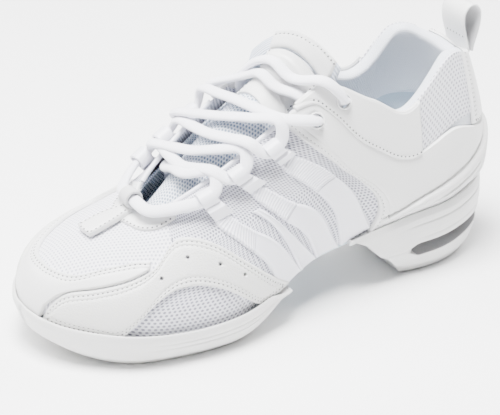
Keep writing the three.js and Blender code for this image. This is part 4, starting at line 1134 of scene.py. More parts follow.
# %% Quarters and eyestays
quarter = Outline(QUARTER_LOW, QUARTER_SEAM, start=QUARTER_FRONT)
both_sides("quarter", quarter, (0.1, 2.1), smooth_hide, "smooth_leather", step=2.2,
           seams=[(("start",), (3.4, 6.6))], puff=0.3, extra=crease, roll=1.2)
eyestay = Outline(shifted([[5.55, 0.975], *SEAM_FRONT], 0, -0.018),
                  level(1, 5.55, 5.2, 4.96, 4.6, 4.26, 3.5, 2.75))
both_sides("eyestay", eyestay, (0.3, 3.3), smooth_hide, "smooth_leather", step=2.2,
           seams=[(("bottom",), (2.6,))], roll=1.5)
EYELETS = [(5.25, 0.83), (4.64, 0.91)]
EYELET_BORE, EYELET_RIM = 3.4, 4.3
for side, turn in TURN_SIDE.items():
    for part, (u, v) in zip(("quarter", "eyestay"), EYELETS):
        cut(made[f"{side}_{part}"], [(turn(u), v)], EYELET_RIM - 0.2)
print("quarters and eyestays made:", len(made))

# %% [markdown]
# The rear of the collar has a window of coarse mesh between the eyestay and the heel tab. An eyelet is a
# small turned ring. A torus would be rounder than a pressed ring is, so a flat-sided profile is spun round
# its axis.

# %% Collar windows and heel tab
window = Outline(level(0.565, 2.86, 2.3, 1.9, 1.32), level(1, 2.86, 2.3, 1.9, 1.32))
both_sides("collar_mesh", window, (-0.6, 0.7), collar_net, "mesh", step=2.5)
tab = Outline(level(0.49, 1.43, 0.8, 0, -0.5, -0.98), level(1, 1.43, 0.8, 0, -0.5, -0.98))
sewn_panel("heel_tab", tab, (0.1, 2.5), smooth_hide, "smooth_leather", node="heel_tab", step=2.2, roll=1.4,
           seams=[(("start", "finish"), (2.2, 4.0)), (("bottom",), (2.2,))], puff=0.2)
print("collar windows and heel tab made:", len(made))

# %% Eyelets
EYELET_BEND, EYELET_TOPS = 0.42, (2.6, 3.6)


def spun(name, centre, axis, profile, finish_with, nodes=(), body=None, sides=40):
    """A closed profile of (radius, height), turned round an axis."""
    side = unit(np.cross(axis, [0.1, 0.2, 1.0]))
    other = np.cross(axis, side)
    points = [centre + axis * height + (side * math.cos(angle) + other * math.sin(angle)) * radius
              for radius, height in profile for angle in np.linspace(0, 2 * math.pi, sides, endpoint=False)]
    faces = grid_faces(len(profile), sides, ring=True)
    last = (len(profile) - 1) * sides
    faces += [(last + k, last + (k + 1) % sides, (k + 1) % sides, k) for k in range(sides)]
    return attach(mesh_piece(name, points, faces, finish_with, weld=False), nodes, body)


def rounded_profile(inner, outer, low, high, bend):
    """A rectangle with round corners, as (radius, height)."""
    corners = [(outer - bend, high - bend, 90, 0), (outer - bend, low + bend, 0, -90),
               (inner + bend, low + bend, -90, -180), (inner + bend, high - bend, -180, -270)]
    return [(x + bend * math.cos(math.radians(angle)), y + bend * math.sin(math.radians(angle)))
            for x, y, first, last in corners for angle in np.linspace(first, last, 5)]


for side, turn in TURN_SIDE.items():
    for i, ((u, v), top) in enumerate(zip(EYELETS, EYELET_TOPS), 1):
        spun(f"{side}_eyelet_{i}", on_last(turn(u), v), outward(turn(u), v),
             rounded_profile(EYELET_BORE, EYELET_RIM, 0.2, top, EYELET_BEND), hard_trim,
             [f"{side}_eyelet_{i}"])
print("eyelets a side:", len(EYELETS))

# %% [markdown]
# Raw edges of mesh and leather are bound with a thin rolled cord, at the throat and along the ankle. A
# bevelled curve would do the same, but a swept section stays a plain closed mesh that can bend at the
# arch.

# %% Edge bindings
ROUND = np.linspace(0, 2 * math.pi, 12, endpoint=False)
BINDING_POINTS = 60


def binding(name, stations, v, offset, radius, finish_with):
    """A round cord along a line of equal height."""
    for side, turn in TURN_SIDE.items():
        u = np.array([turn(one) for one in np.linspace(*stations, BINDING_POINTS)])
        height = np.full(BINDING_POINTS, v)
        path, up = skin(u, height, np.full(BINDING_POINTS, offset)), outward(u, height)
        rows = swept(path, up, np.stack([radius * np.cos(ROUND), radius * np.sin(ROUND)], 1))
        attach(mesh_piece(f"{side}_{name}", rows.reshape(-1, 3), capped(rows), finish_with, weld=False))


binding("throat_binding", (7.9, 5.9), 0.99, -0.3, 1.25, film)
binding("ankle_binding", (5.5, 2.8), 0.995, 1.6, 1.15, smooth_hide)
print("bindings made:", len(made))

# %% [markdown]
# The heel cup is a moulded shell that grips the heel, with two steps pressed round it below its rim. It is
# drawn like a panel, since it hugs the same last, and the steps are dips in its outer face. The lining
# lies inside.

# %% Heel cup and heel lining
STEP_INSETS, STEP_DEPTH, STEP_WIDTH = (5.0, 9.5), 0.9, 0.6


def round_heel(edge):
    """An edge of the outer side that goes on round the heel to the inner side."""
    twin = medial_of(edge)[:-1][::-1] - [21, 0]
    return [*edge, *twin.tolist()]


def cup_steps(far, u, v):
    return sum(-STEP_DEPTH * bell(far["top"], inset, STEP_WIDTH) for inset in STEP_INSETS)


cup = Outline(round_heel([[u, CUP_FOOT] for u, _ in CUP_TOP]), round_heel(CUP_TOP))
sewn_panel("heel_cup", cup, (0.3, 4.9), sole_foam, "sole_body", node="heel_cup", step=1.6, roll=1.6,
           extra=cup_steps)
LINING_STATIONS = (3.4, 2.6, 1.8, 1, 0)
heel_lining = Outline(round_heel(level(0.03, *LINING_STATIONS)), round_heel(level(0.5, *LINING_STATIONS)))
sewn_panel("heel_lining", heel_lining, LINING, lining_knit, "lining", node="heel_lining", step=4)
print("heel cup points:", len(made["heel_cup"].data.vertices))

# %% [markdown]
# ## Padded collar
# Foam under knit has no sharp edge anywhere. Each half is a sheet with both faces pushed out from its
# middle and rolled together at the rim; the top stands a little above the leather, as a stuffed collar
# does. Cloth under pressure would crease more truly, but takes tuning; slow waves in the surface stand in
# for it here.

# %% Collar pads
PAD_LOW = [[4.3, 0.66], [3.6, 0.5], [2.8, 0.46], [2, 0.46], [1, 0.46], [0.0, 0.46]]
PAD_HIGH = level(1.012, 4.3, 3.6, 2.8, 2, 1, 0.0)
WAVE_HEIGHT = 0.22


def soft_waves(far, u, v):
    """Slow swells that no two places of the pad share."""
    return WAVE_HEIGHT * np.sin(7.3 * u + 3 * v) * np.sin(11 * v + 0.8 * u)


for side, turn in SIDES.items():
    pad = sewn_panel(f"{side}_collar_pad", turn(Outline(PAD_LOW, PAD_HIGH)), (-7.2, -0.1), collar_knit,
                     "collar_fabric", node=f"{side}_collar_pad", step=2.4, roll=3.4, both=True,
                     extra=soft_waves)
print("rear of the upper made:", len(made))

# %% [markdown]
# ## Tongue
# The tongue is a padded strip whose top folds forward. It is drawn by its middle line, with a half
# width, a droop toward both edges and a skew; the patch of leather follows the same rule a little higher. The
# last has no surface there, so the tongue has its own.

# %% Tongue surface
# Each row has its place along the shoe, height, half width, droop and skew.
TONGUE_ROWS = np.array([
    [-60, 55, 11, 5, 0], [-48, 66.5, 14.5, 10, 0], [-34, 80, 18, 14, 0], [-18, 93.5, 22, 18, 0.1],
    [-4, 104, 22, 21, 0.2], [8, 113.5, 15.2, 18, 0.35], [18, 124.5, 19, 17, 0.55], [18.9, 125.7, 20, 18, 0.55],
    [21.5, 130, 21, 16, 0.6], [24, 134, 20.5, 14, 0.65]], float)
TONGUE_MIDDLE = -3.0


def tongue_row(y):
    return np.stack([np.interp(y, TONGUE_ROWS[:, 0], TONGUE_ROWS[:, k]) for k in range(5)], -1)


def tongue_at(y, a, depth):
    """A point of the tongue; a runs from the inner (-1) to the outer edge (1), depth is below its top."""
    y, a, depth = np.broadcast_arrays(np.asarray(y, float), np.asarray(a, float), np.asarray(depth, float))
    _, z, half, drop, skew = np.moveaxis(tongue_row(y), -1, 0)
    down = unit(np.stack([0.55 * a, np.full(a.shape, -0.62), np.full(a.shape, 0.79)], -1))
    droop = np.where(np.abs(a) <= 1, a * a, 1 + 1.2 * (np.abs(a) - 1))
    base = np.stack([TONGUE_MIDDLE + a * half, y + skew * a * half, z - drop * droop], -1)
    return base - down * depth[..., None]


print("tongue height in mm:", float(np.ptp(TONGUE_ROWS[:, 1])))

# %% A piece of the tongue


def running(points, axis):
    """Millimetres from the first point, along one axis of a grid."""
    steps = np.cumsum(np.linalg.norm(np.diff(points, axis=axis), axis=2), axis)
    shape = (1, points.shape[1]) if axis == 0 else (points.shape[0], 1)
    return np.concatenate([np.zeros(shape), steps], axis)


def tongue_piece(name, ys, reach, depths, finish_with, node=None, body=None, step=1.6, roll=1.6,
                 relief=None, both=False, seams=(), widen=0.0):
    """depths: how far the piece's top and underside lie below the tongue's surface."""
    outer, inner = depths
    rings = seam_rings(seams)
    length, width = (ys[1] - ys[0]) * 1.32, (reach[1] - reach[0]) * 22
    y = ys[0] + (ys[1] - ys[0]) * graded(length, rings, max(3, int(length / step)))
    a = reach[0] + (reach[1] - reach[0]) * graded(width, rings, max(3, int(width / step)))
    y, a = np.meshgrid(y, a, indexing="ij")
    spare = widen * (1 - smooth_step(y, -4, 13)) + 2.4 * widen * smooth_step(-y, 20, 52)
    a = np.where(a < 0, a * (1 + spare), a)
    base = tongue_at(y, a, 0)
    along, across = running(base, 0), running(base, 1)
    far = {"foot": along, "head": along[-1] - along, "inner": across, "outer": across[:, -1:] - across}
    curl = rolled(np.minimum.reduce(list(far.values())), roll)
    rise = grooved(np.zeros(a.shape), far, seams)
    if relief:
        rise = rise + relief(far, y, a)
    middle = (outer + inner) / 2 if both else inner
    top = tongue_at(y, a, middle - (middle - outer + rise) * curl)
    low = tongue_at(y, a, middle + (inner - middle) * curl)
    item = attach(shell(name, top, low, finish_with), [node] if node else (), body)
    lines = []
    for edges, rows in seams:
        for edge in edges:
            for inset in rows:
                flip = edge in ("foot", "head")
                picks = [int(np.argmin(np.abs(line - inset))) for line in (far[edge].T if flip else far[edge])]
                where = [(p, k) if flip else (k, p) for k, p in enumerate(picks)]
                line = np.array([tongue_at(y[w], a[w], outer + 0.2) for w in where])
                lines.append((line, line - tongue_at([y[w] for w in where], [a[w] for w in where], 4.0)))
    if lines:
        stitching(name + "_stitching", lines, body)
    return item


# %% Tongue pad and flap
def quilted(far, y, a):
    """Padding that swells in the middle, with shallow quilting."""
    return 0.5 * np.clip(1 - a**4, 0, 1) + 0.15 * np.sin(0.5 * y) * np.cos(3 * a)


pad = tongue_piece("tongue_pad", (-63, 18.2), (-1.16, 1.1), (0, 5), tongue_net, "tongue_pad", roll=2.4,
                   relief=quilted, both=True, widen=0.32)
flap = tongue_piece("tongue_flap", (18.9, 24.2), (-1, 1), (0, 5), rib_knit, "tongue_flap", "tongue_top",
                    roll=2.2, both=True)
print("padded parts of the tongue:", pad.name, flap.name)


# %% Leather patch of the tongue
def emboss(far, y, a):
    """A plain frame and three bars pressed into the leather."""
    x, z = (a - 0.25) * 16, (y - 11.0) * 1.35
    box = np.maximum(np.abs(x) - 8.5, np.abs(z) - 6.0)
    frame_line = bell(box, 0, 0.75)
    bars = sum(np.exp(-(((z - at) / 0.75) ** 4)) * (np.abs(x) < 5.5) for at in (-3.2, 0, 3.2))
    return 0.5 * (np.abs(x) < 12) * frame_line - 0.55 * bars


tongue_piece("tongue_patch", (19.2, 24.0), (-0.4, 0.93), (-1.8, -0.1), smooth_hide,
             "tongue_patch", "tongue_top", step=1.0, roll=1.2, seams=[(("head",), (2.2,))])
tongue_piece("tongue_patch_lower", (-2, 18.5), (-0.42, 0.92), (-1.8, 0.4), smooth_hide,
             step=0.7, roll=0.8, relief=emboss, seams=[(("inner", "outer"), (1.6,))])
print("tongue made:", len(made))

# %% [markdown]
# ## Sole
# Both units are stacks of outlines of the foot's edge, each moved in or out and up or down. Corners
# between outlines are rounded, so that light rolls over them. The heel has a long slot; both carry fine
# side lines. Box modelling with bevels would give the same, but the foot's edge keeps the sole flush with
# the upper all round.

# %% Sole outlines
TOE_Y, HEEL_Y, FORE_END, SEAT_DROP = -126.2, 127.8, -6.0, 1.9
LIP_REACH, LIP_WALL, LIP_RISE, TREAD = 3.0, 1.6, 3.0, 3.0


def foot_edge(first, last):
    """A table of station against place along the shoe, for one side of the foot's edge."""
    u = np.linspace(first, last, 1200)
    y = on_last(u, np.zeros(u.size))[:, 1]
    order = np.argsort(y)
    return y[order], u[order]


FOOT_EDGES = [foot_edge(0, 11), foot_edge(float(facing(11)), 21)]


def mix(a, b, t):
    return a + (b - a) * t


def curving_up(past, reach, height):
    """Rises ever faster once past zero, to this height at this reach."""
    return np.maximum(0, past / reach) ** 2 * height


def sole_ring(ys, reach, height):
    """Points round the sole: the outer side, then the inner side backwards."""
    rows = []
    for y_table, u_table in FOOT_EDGES:
        u = np.interp(ys, y_table, u_table)
        p, out = on_last(u, np.zeros(u.size)), outward(u, np.zeros(u.size))
        out = unit(out * [1, 1, 0])
        level_z = height(p[:, 2], ys)
        p = p + out * (reach(ys) if callable(reach) else np.full(len(ys), float(reach)))[:, None]
        p[:, 2] = level_z
        rows.append(p)
    return np.concatenate([rows[0], rows[1][::-1]])


def spread(start, end, steps=60):
    """Places that crowd toward the end, where the outline turns fastest."""
    return start + (end - start) * np.sin(np.linspace(0, math.pi / 2, steps + 1))


def softened(rings, bend=0.7):
    """Every corner between rings is turned into a small curve."""
    result = [rings[0]]
    for before, ring, after in zip(rings, rings[1:], rings[2:]):
        back, ahead = before - ring, after - ring
        back_far = np.maximum(np.linalg.norm(back, axis=1), 1e-6)[:, None]
        ahead_far = np.maximum(np.linalg.norm(ahead, axis=1), 1e-6)[:, None]
        a = ring + back * np.minimum(0.42, bend / back_far)
        c = ring + ahead * np.minimum(0.42, bend / ahead_far)
        result += [(1 - t) ** 2 * a + 2 * t * (1 - t) * ring + t * t * c for t in (0, 0.33, 0.67, 1)]
    return result + [rings[-1]]


def stacked(name, rings, finish_with, nodes=(), bend=0.7, weld=True):
    """A closed piece from rings, from its underside to its top."""
    rings = softened([np.asarray(ring) for ring in rings], bend) if bend else rings
    n = len(rings[0])
    faces = grid_faces(len(rings), n, ring=True)
    top = (len(rings) - 1) * n
    faces += [(n - 1 - i, n - 2 - i, i + 1, i) for i in range(n // 2 - 1)]
    faces += [(top + i, top + i + 1, top + n - 2 - i, top + n - 1 - i) for i in range(n // 2 - 1)]
    points = np.concatenate(rings)
    return attach(mesh_piece(name, points, faces, finish_with, uv=points[:, :2], weld=weld), nodes)


print("foot edge in mm:", [round(float(edge[0][-1] - edge[0][0]), 1) for edge in FOOT_EDGES])


# %% Lines of the forefoot unit
def fore_floor(y):
    """The tread's height: up at the toe, and up again toward the arch."""
    return curving_up(-88 - y, 40, 9) + curving_up(y + 42, 36, 14)


def rise(z, y, above, left=0.0):
    """A height over the foot's edge that sinks below it toward the arch."""
    return z + mix(above, -SEAT_DROP - left, smooth_step(y, FORE_END - 16, FORE_END - 2))


def fore_ring(reach, height, back=0.0):
    return sole_ring(spread(FORE_END - back, TOE_Y), reach, height)


def side_line(share, depth=0.5):
    """Three rings that make one fine line along the side, fading toward the toe."""
    return [fore_ring(lambda y, s=share + d, k=k: mix(2.6, 4.6, s) - k * depth * smooth_step(y, -95, -60),
                      lambda z, y, s=share + d: mix(mix(fore_floor(y) + TREAD, z, 0.4), rise(z, y, -0.5, 1), s),
                      mix(1.2, 0.0, share + d)) for d, k in ((-0.09, 0), (0, 1), (0.09, 0))]


print("forefoot tread at the ball in mm:", float(fore_floor(-60.0)))

# %% Forefoot unit
stacked("forefoot_outsole", [
    fore_ring(-5, lambda z, y: fore_floor(y), 6),
    fore_ring(-2.6, lambda z, y: fore_floor(y) + 0.8, 4.2),
    fore_ring(-1.6, lambda z, y: fore_floor(y) + TREAD, 3.5)], tread_rubber,
    ["forefoot_outsole"])
stacked("forefoot_midsole", [
    fore_ring(-1.2, lambda z, y: fore_floor(y) + TREAD + 0.15, 2.5),
    fore_ring(1.4, lambda z, y: mix(fore_floor(y) + TREAD, z, 0.12), 1.8),
    fore_ring(2.6, lambda z, y: mix(fore_floor(y) + TREAD, z, 0.4), 1.2),
    *side_line(0.3), *side_line(0.72),
    fore_ring(LIP_REACH + LIP_WALL, lambda z, y: rise(z, y, -0.5, 1)),
    fore_ring(LIP_REACH + LIP_WALL - 0.3, lambda z, y: rise(z, y, LIP_RISE - 0.9, 0.5), 0.3),
    fore_ring(LIP_REACH + 0.5, lambda z, y: rise(z, y, LIP_RISE, 0.2), 0.7),
    fore_ring(LIP_REACH - 0.6, lambda z, y: rise(z, y, LIP_RISE - 1.2, 0.1), 1.1),
    fore_ring(LIP_REACH - 0.6, lambda z, y: rise(z, y, -SEAT_DROP), 1.5)], sole_foam,
    ["forefoot_midsole"], bend=0.6)
print("forefoot unit points:", len(made["forefoot_midsole"].data.vertices))

# %% Lines of the heel unit
HEEL_LIP, SLOT_LEVEL, SLOT_FROM, SLOT_DEEP = 3.4, 15.5, 74.0, 9.0


def slot_deep(y):
    return SLOT_DEEP * smooth_step(y, SLOT_FROM - 2, SLOT_FROM + 5)


def slot_half(y):
    return 0.15 + 2.4 * smooth_step(y, SLOT_FROM - 4, SLOT_FROM + 4) - 0.8 * smooth_step(y, 95, 125)


def slot_level(y):
    return SLOT_LEVEL - 1.2 + 4.6 * smooth_step(y, SLOT_FROM, 135)


def slot_reach(y):
    return 4.4 - 0.8 * smooth_step(y, SLOT_FROM - 6, SLOT_FROM) - slot_deep(y)


def heel_floor(y):
    """The tread's height: up at its front end and at the back of the heel."""
    return curving_up(80 - y, 10, 1.2) + curving_up(y - 112, 18, 3)


print("slot depth in mm:", SLOT_DEEP)

# %% The slot's floor, in painted shade
SLOT_FLOOR_BAND, SLOT_FLOOR_REACH = 4.0, 1.2
line_u = np.linspace(-8, 8, 1600) % RIB_COUNT
FOOT_LINE = np.concatenate([on_last(line_u, np.zeros(1600)), outward(line_u, np.zeros(1600))], 1)


def edge_reach(point):
    """How far a point lies outside the foot's edge, in plan."""
    near = FOOT_LINE[np.argmin(((FOOT_LINE[:, :2] - point[:2]) ** 2).sum(1))]
    away = point[:2] - near[:2]
    return np.linalg.norm(away) * (1 if away.dot(near[3:5]) > 0 else -1)


def paint_slot_shade(item):
    """The slot's floor takes a near-black finish as painted shade, told apart from the side by how far in it
    lies.
    """
    points = np.array([v.co for v in item.data.vertices]) / MM - SHIFT
    for face in item.data.polygons:
        middle = points[list(face.vertices)].mean(0)
        if middle[1] > SLOT_FROM and abs(middle[2] - slot_level(middle[1]) - 0.6) < SLOT_FLOOR_BAND:
            shares = [edge_reach(points[k]) for k in face.vertices]
            face.material_index = 1 if np.mean(shares) < SLOT_FLOOR_REACH else 0


print("points round the heel's edge:", len(FOOT_LINE))

# %% Heel unit


def heel_ring(share, reach, height):
    return sole_ring(spread(mix(70, 36, share), HEEL_Y), reach, height)


def heel_line(share, low=(0.5, 4.8), high=(0.62, 5.6), depth=0.45):
    """Three rings that make one fine line between two rings of (share, reach)."""
    return [heel_ring(mix(low[0], high[0], share + d),
                      lambda y, s=share + d, k=k: mix(low[1], high[1], s) - k * depth * smooth_step(y, 70, 90),
                      lambda z, y, s=share + d: mix(slot_level(y) + slot_half(y) + 2.6, z - 10, s))
            for d, k in ((-0.12, 0), (0, 1), (0.12, 0))]


stacked("heel_outsole", [
    heel_ring(0, -3, lambda z, y: heel_floor(y)),
    heel_ring(0.04, -1.5, lambda z, y: heel_floor(y) + 0.8),
    heel_ring(0.08, -0.8, lambda z, y: heel_floor(y) + TREAD)], tread_rubber,
    ["heel_outsole"])
stacked("heel_midsole", [
    heel_ring(0.09, -0.4, lambda z, y: heel_floor(y) + TREAD + 0.15),
    heel_ring(0.16, 1.6, lambda z, y: mix(heel_floor(y) + TREAD, slot_level(y), 0.2)),
    heel_ring(0.25, 2.8, lambda z, y: mix(heel_floor(y) + TREAD, slot_level(y), 0.55)),
    heel_ring(0.35, 4.2, lambda z, y: slot_level(y) - slot_half(y) + 0.2),
    heel_ring(0.38, slot_reach, lambda z, y: slot_level(y) - slot_half(y) + 0.8),
    heel_ring(0.45, slot_reach, lambda z, y: slot_level(y) + slot_half(y) + 1.8),
    heel_ring(0.5, 4.8, lambda z, y: slot_level(y) + slot_half(y) + 2.6),
    *heel_line(0.5),
    heel_ring(0.62, 5.6, lambda z, y: z - 10),
    heel_ring(0.71, 5.4, lambda z, y: z - 6.2),
    heel_ring(0.725, lambda y: 5.4 - 0.7 * smooth_step(y, 60, 85), lambda z, y: z - 5.4),
    heel_ring(0.74, 5.4, lambda z, y: z - 4.6),
    heel_ring(0.85, 5.4, lambda z, y: z - 2),
    heel_ring(1, 4.4, lambda z, y: z + 1.6),
    heel_ring(1, HEEL_LIP - 1, lambda z, y: z + 1.2),
    heel_ring(1, HEEL_LIP - 1, lambda z, y: z - SEAT_DROP)], [sole_foam, slot_shade_foam],
    ["heel_midsole"], bend=0.6)
# Paints shade on the slot's floor.
paint_slot_shade(made["heel_midsole"])
print("heel unit points:", len(made["heel_midsole"].data.vertices))

# %% [markdown]
# The insole is a soft sheet inside the shoe, and a thin sheet of fabric closes the arch from below, where the
# sole is split. Both follow the foot's edge a little way in, so they are short stacks of the same outlines.

# %% Insole and the sheet under the arch
SOCK_EDGE = ((-7.4, 0.6), (-6.6, 1.2), (-6.6, 3.0), (-7.6, 3.7))
SLING_EDGE = ((-1.6, -2.6), (-0.6, -2.0), (-0.4, -0.6), (-1.2, 0.2))


def sheet_rings(ys, edge):
    """Rings of a flat sheet: how far out and how high over the foot's edge."""
    return [sole_ring(ys, reach, lambda z, y, h=height: z + h) for reach, height in edge]


sock_ys = np.concatenate([spread(0, 120.8, 30)[::-1], spread(0, -119.2, 30)[1:]])
sock = stacked("sockliner", sheet_rings(sock_ys, SOCK_EDGE), lining_knit, ["sockliner"])
sling_ys = np.linspace(-4, 38, 22)
stacked("arch_sling", sheet_rings(sling_ys, SLING_EDGE), lining_knit, ["arch_sling"])
print("sole made:", len(made))

# %% [markdown]
# ## Lace
# The lace is a soft flat cord, pulled from side to side. A cord simulated under gravity would sag off the
# tongue, so its path is written as the places it must go through: a smooth curve joins them, and an oval
# section is swept along with its flat side to the shoe.

# %% Places along the lace
LOOP_HALF, PAST_LOOP = 3.5, 5.9


def over(side, u, v, offset):
    """Over one side of the last."""
    return skin(TURN_SIDE[side](u), v, offset)


def on_tongue(y, a, lift):
    """Over the tongue."""
    return tongue_at(y, a, -lift)


def through(i, side):
    """Straight through a loop."""
    centre, along = ring_frame(i, side)
    return [centre + along * far for far in (-LOOP_HALF - 1.6, 0, LOOP_HALF + 1.6)]


def brink(side, i, end):
    """The edge of the throat beside a loop, where the lace turns across."""
    _, along = ring_frame(i, side)
    return over(side, RINGS[i][0][0], 1, 9.6 if i == 2 else 6.8) + along * end * (LOOP_HALF + PAST_LOOP)


def on_crown(point, lift):
    """Straight over or under a point, at this lift from the tongue."""
    aside = point[0] - TONGUE_MIDDLE
    row = tongue_row(point[1] - tongue_row(point[1])[4] * aside)
    return tongue_at(row[0], aside / row[2], -lift)


def across(a, b, lift=4.4):
    """A tight strand: straight from each edge to the crown, and never inside the tongue."""
    crown = on_crown(a + (b - a) * 0.5, lift)
    between = []
    for t in (0.2, 0.4, 0.5, 0.6, 0.8):
        straight = a + (crown - a) * 2 * t if t <= 0.5 else crown + (b - crown) * (2 * t - 1)
        floor_z = on_crown(straight, 3.2)[2]
        straight[2] = max(straight[2], floor_z)
        between.append(straight)
    return [a, *between, b]


def through_eyelet(side, i):
    return [over(side, *EYELETS[i], far) for far in (5.6, 1.4, -2.4)]


print("lace passes", len(RINGS), "loops a side")

# %% Lace path
# From the inner side of the throat, down to the tab, up from loop to loop, and out through the eyelets.
tab_ring = skin(10.87, 0.985, 7.8)
lace_points = [
    np.array([-25.5, -34, 55]), np.array([-25.2, -36, 63]), np.array([-20, -39.5, 71.5]),
    on_tongue(-41.5, -0.6, 4.6), on_tongue(-41.5, 0, 4.8), on_tongue(-40, 0.5, 8.4),
    brink("lateral", 0, 1), *through(0, "lateral")[::-1], over("lateral", 8.5, 0.92, 6.8),
    *(tab_ring + [far, 0, 0] for far in (8, 0, -8)), over("medial", 8.5, 0.92, 6.8),
    *through(0, "medial"), *across(brink("medial", 0, 1), brink("lateral", 1, -1)),
    *through(1, "lateral"), *across(brink("lateral", 1, 1), brink("medial", 1, -1)),
    *through(1, "medial"), *across(brink("medial", 1, 1), brink("lateral", 2, -1)),
    *through(2, "lateral"), *across(brink("lateral", 2, 1), brink("medial", 2, -1)),
    *through(2, "medial"), *across(brink("medial", 2, 1), over("lateral", 5.82, 1, 6.8)),
    over("lateral", 5.55, 0.9, 7.4), *through_eyelet("lateral", 0), over("lateral", 5.3, 0.92, -2.9),
    over("lateral", 5.34, 1.02, -2.7), on_tongue(6.8, 0.5, 4.4), on_tongue(7.4, 0, 4.4),
    on_tongue(8.2, -0.6, 5.4),
    over("medial", 5.72, 0.98, 8.4), over("medial", 5.52, 0.9, 7.4), *through_eyelet("medial", 0),
    over("medial", 5.3, 0.92, -2.9), over("medial", 5.36, 1.02, -2.7), on_tongue(13.6, -0.6, 4.6),
    on_tongue(13, 0.05, 4.4), on_tongue(12.6, 0.65, 6), over("lateral", 5.0, 1.03, 7.2),
    over("lateral", 4.84, 0.97, 7.6), *through_eyelet("lateral", 1), over("lateral", 4.66, 0.83, -5),
    over("lateral", 4.74, 0.72, -6.5)]


def even_path(points, gap=1.0, blur=3.6):
    """Even steps along a smooth curve through the points, with its small wobbles averaged out."""
    points = np.array(points, float)
    fine = smooth_through(points, np.linspace(0, len(points) - 1, 30 * len(points)))
    steps = lengths_along(fine)
    path = at_length(fine, steps, np.linspace(0, steps[-1], int(steps[-1] / gap)))
    reach = int(3 * blur / gap)
    weights = np.exp(-0.5 * (np.arange(-reach, reach + 1) * gap / blur) ** 2)
    weights /= weights.sum()
    padded = np.concatenate([np.repeat(path[:1], reach, 0), path, np.repeat(path[-1:], reach, 0)])
    return np.stack([np.convolve(padded[:, axis], weights, "valid") for axis in range(3)], 1)


lace_path = even_path(lace_points)
print("lace length in mm:", round(float(lengths_along(lace_path)[-1])))

# %% Lace body
LACE_WIDE, LACE_THICK, LACE_SIDES, LACE_ROUND = 3.2, 1.95, 20, 16.5
# The flat side faces a line inside the foot.
out = lace_path - np.stack([np.full(len(lace_path), TONGUE_MIDDLE), lace_path[:, 1] + 12,
                            np.full(len(lace_path), 38.0)], 1)
angles = np.linspace(-math.pi / 2, 1.5 * math.pi, LACE_SIDES, endpoint=False)
oval = np.stack([LACE_WIDE * np.cos(angles), LACE_THICK * np.sin(angles)], 1)
lace_rows = swept(lace_path, unit(out), oval)
run = np.repeat(np.arange(len(lace_path))[:, None], LACE_SIDES, 1)
turn_mm = np.repeat((np.arange(LACE_SIDES) * LACE_ROUND / LACE_SIDES)[None], len(lace_path), 0)
lace = mesh_piece("shoelace", lace_rows.reshape(-1, 3), capped(lace_rows), lace_weave,
                  uv=np.stack([run, turn_mm], -1).reshape(-1, 2), weld=False)
attach(lace, ["shoelace"])
print("lace points:", len(lace.data.vertices))

# %% [markdown]
# ## Lace tab and pull loop
# The tab at the foot of the throat is a leather patch that wraps round the lace, its grey back turned out
# at the fold. The pull loop is one band bent to a drop, sewn between the heel tab and the collar. Bending
# a flat strip with a modifier would thin it at the top; sweeping its section keeps the wall even.

# %% Lace tab
TAB = (1.6, 4.0)
tab = Outline([[10.52, 0.69], [10.46, 0.76], [10.4, 0.87], [10.38, 0.965]],
              [[11.1, 0.69], [11.17, 0.76], [11.32, 0.87], [11.36, 0.965]])
sewn_panel("lace_tab", tab, TAB, loop_hide, "smooth_leather", node="lace_tab", step=1.6, roll=1.2,
           seams=[(("start",), (1.6,)), (("bottom", "top"), (1.6,))])
tab_profile = rounded_profile(RING_BORE - 0.3, RING_BORE + RING_WALL, -3.9, 3.9, 0.55)
spun("lace_tab_fold", tab_ring, np.array([1.0, 0, 0]), tab_profile, loop_back, sides=48)
print("lace tab made:", len(made))

# %% Path of the pull loop
BAND_HALF, BAND_WALL, LOOP_BASE, LOOP_Y = 9.6, 1.5, 107.0, 123.2


def drop_path():
    """Up one leg, round the top and down the other, in a plane across the heel."""
    shape = np.array([[-1.1, 0], [-1.9, 4], [-3.8, 10], [-5.0, 15.5], [-4.9, 20.7], [-2.7, 24.2], [0, 25.2],
                      [2.7, 24.2], [4.9, 20.7], [5.0, 15.5], [3.8, 10], [1.9, 4], [1.1, 0]])
    spots = smooth_through(shape, np.linspace(0, len(shape) - 1, 90))
    return np.stack([np.zeros(len(spots)), LOOP_Y + spots[:, 0], LOOP_BASE + spots[:, 1]], 1)


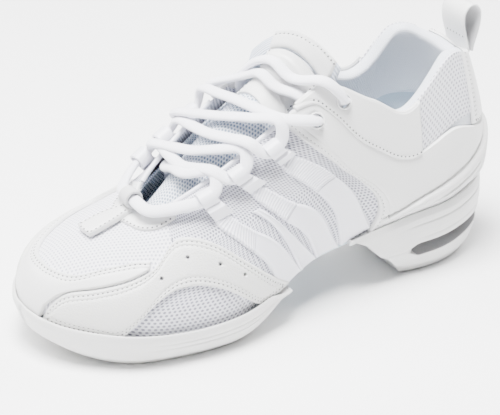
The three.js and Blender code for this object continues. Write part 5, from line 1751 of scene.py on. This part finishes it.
loop_path = drop_path()
ahead = unit(np.gradient(loop_path, axis=0))
loop_out = np.cross(np.array([1.0, 0, 0]), ahead)
loop_out *= np.sign((loop_out * (loop_path - [0, LOOP_Y, LOOP_BASE + 17])).sum(1).mean())
print("pull loop height in mm:", round(float(np.ptp(loop_path[:, 2])), 1))

# %% Pull loop
# Where the band's section turns its grey back, and which places of the path are sewn down.
BACK_FROM, BACK_TO, SEWN_AT = 10, 20, (76, 13)
flat = np.linspace(-BAND_HALF + 0.5, BAND_HALF - 0.5, 9)
band = np.array([*((x, BAND_WALL / 2) for x in flat), (BAND_HALF - 0.1, 0.45), (BAND_HALF, 0),
                 (BAND_HALF - 0.1, -0.45), *((x, -BAND_WALL / 2) for x in flat[::-1]),
                 (-BAND_HALF + 0.1, -0.45), (-BAND_HALF, 0), (-BAND_HALF + 0.1, 0.45)])
loop_rows = swept(loop_path, loop_out, band)
pull = mesh_piece("pull_loop", loop_rows.reshape(-1, 3), capped(loop_rows), [loop_hide, loop_back], weld=False)
back = [all(BACK_FROM <= v % len(band) <= BACK_TO for v in face.vertices) for face in pull.data.polygons]
pull.data.polygons.foreach_set("material_index", [int(one) for one in back])
attach(pull, ["pull_loop"], "heel_loop")
aside = np.linspace(-8, 8, 21)[:, None] * [1, 0, 0]
rows = [(loop_path[k] + loop_out[k] * BAND_WALL / 2 + aside, np.repeat(loop_out[k][None], len(aside), 0))
        for k in SEWN_AT]
stitching("pull_loop_stitching", rows, "heel_loop")
print("pull loop made:", len(made))

# %% [markdown]
# ## Hidden pieces
# The stiffeners, boards and lace tips keep the plain model's shape: nothing more of them can be seen. They
# only take the right finish.

# %% Finishes for the hidden pieces
KEPT = {"toe_puff": stiffener, "heel_counter": stiffener, "forefoot_board": board_fibre,
        "heel_board": board_fibre, "lace_tip_1": hard_trim, "lace_tip_2": hard_trim}
for node, look in KEPT.items():
    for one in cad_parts[node].material_slots:
        one.material = look
print("pieces:", len(made), "faces:", sum(len(item.data.polygons) for item in made.values()))
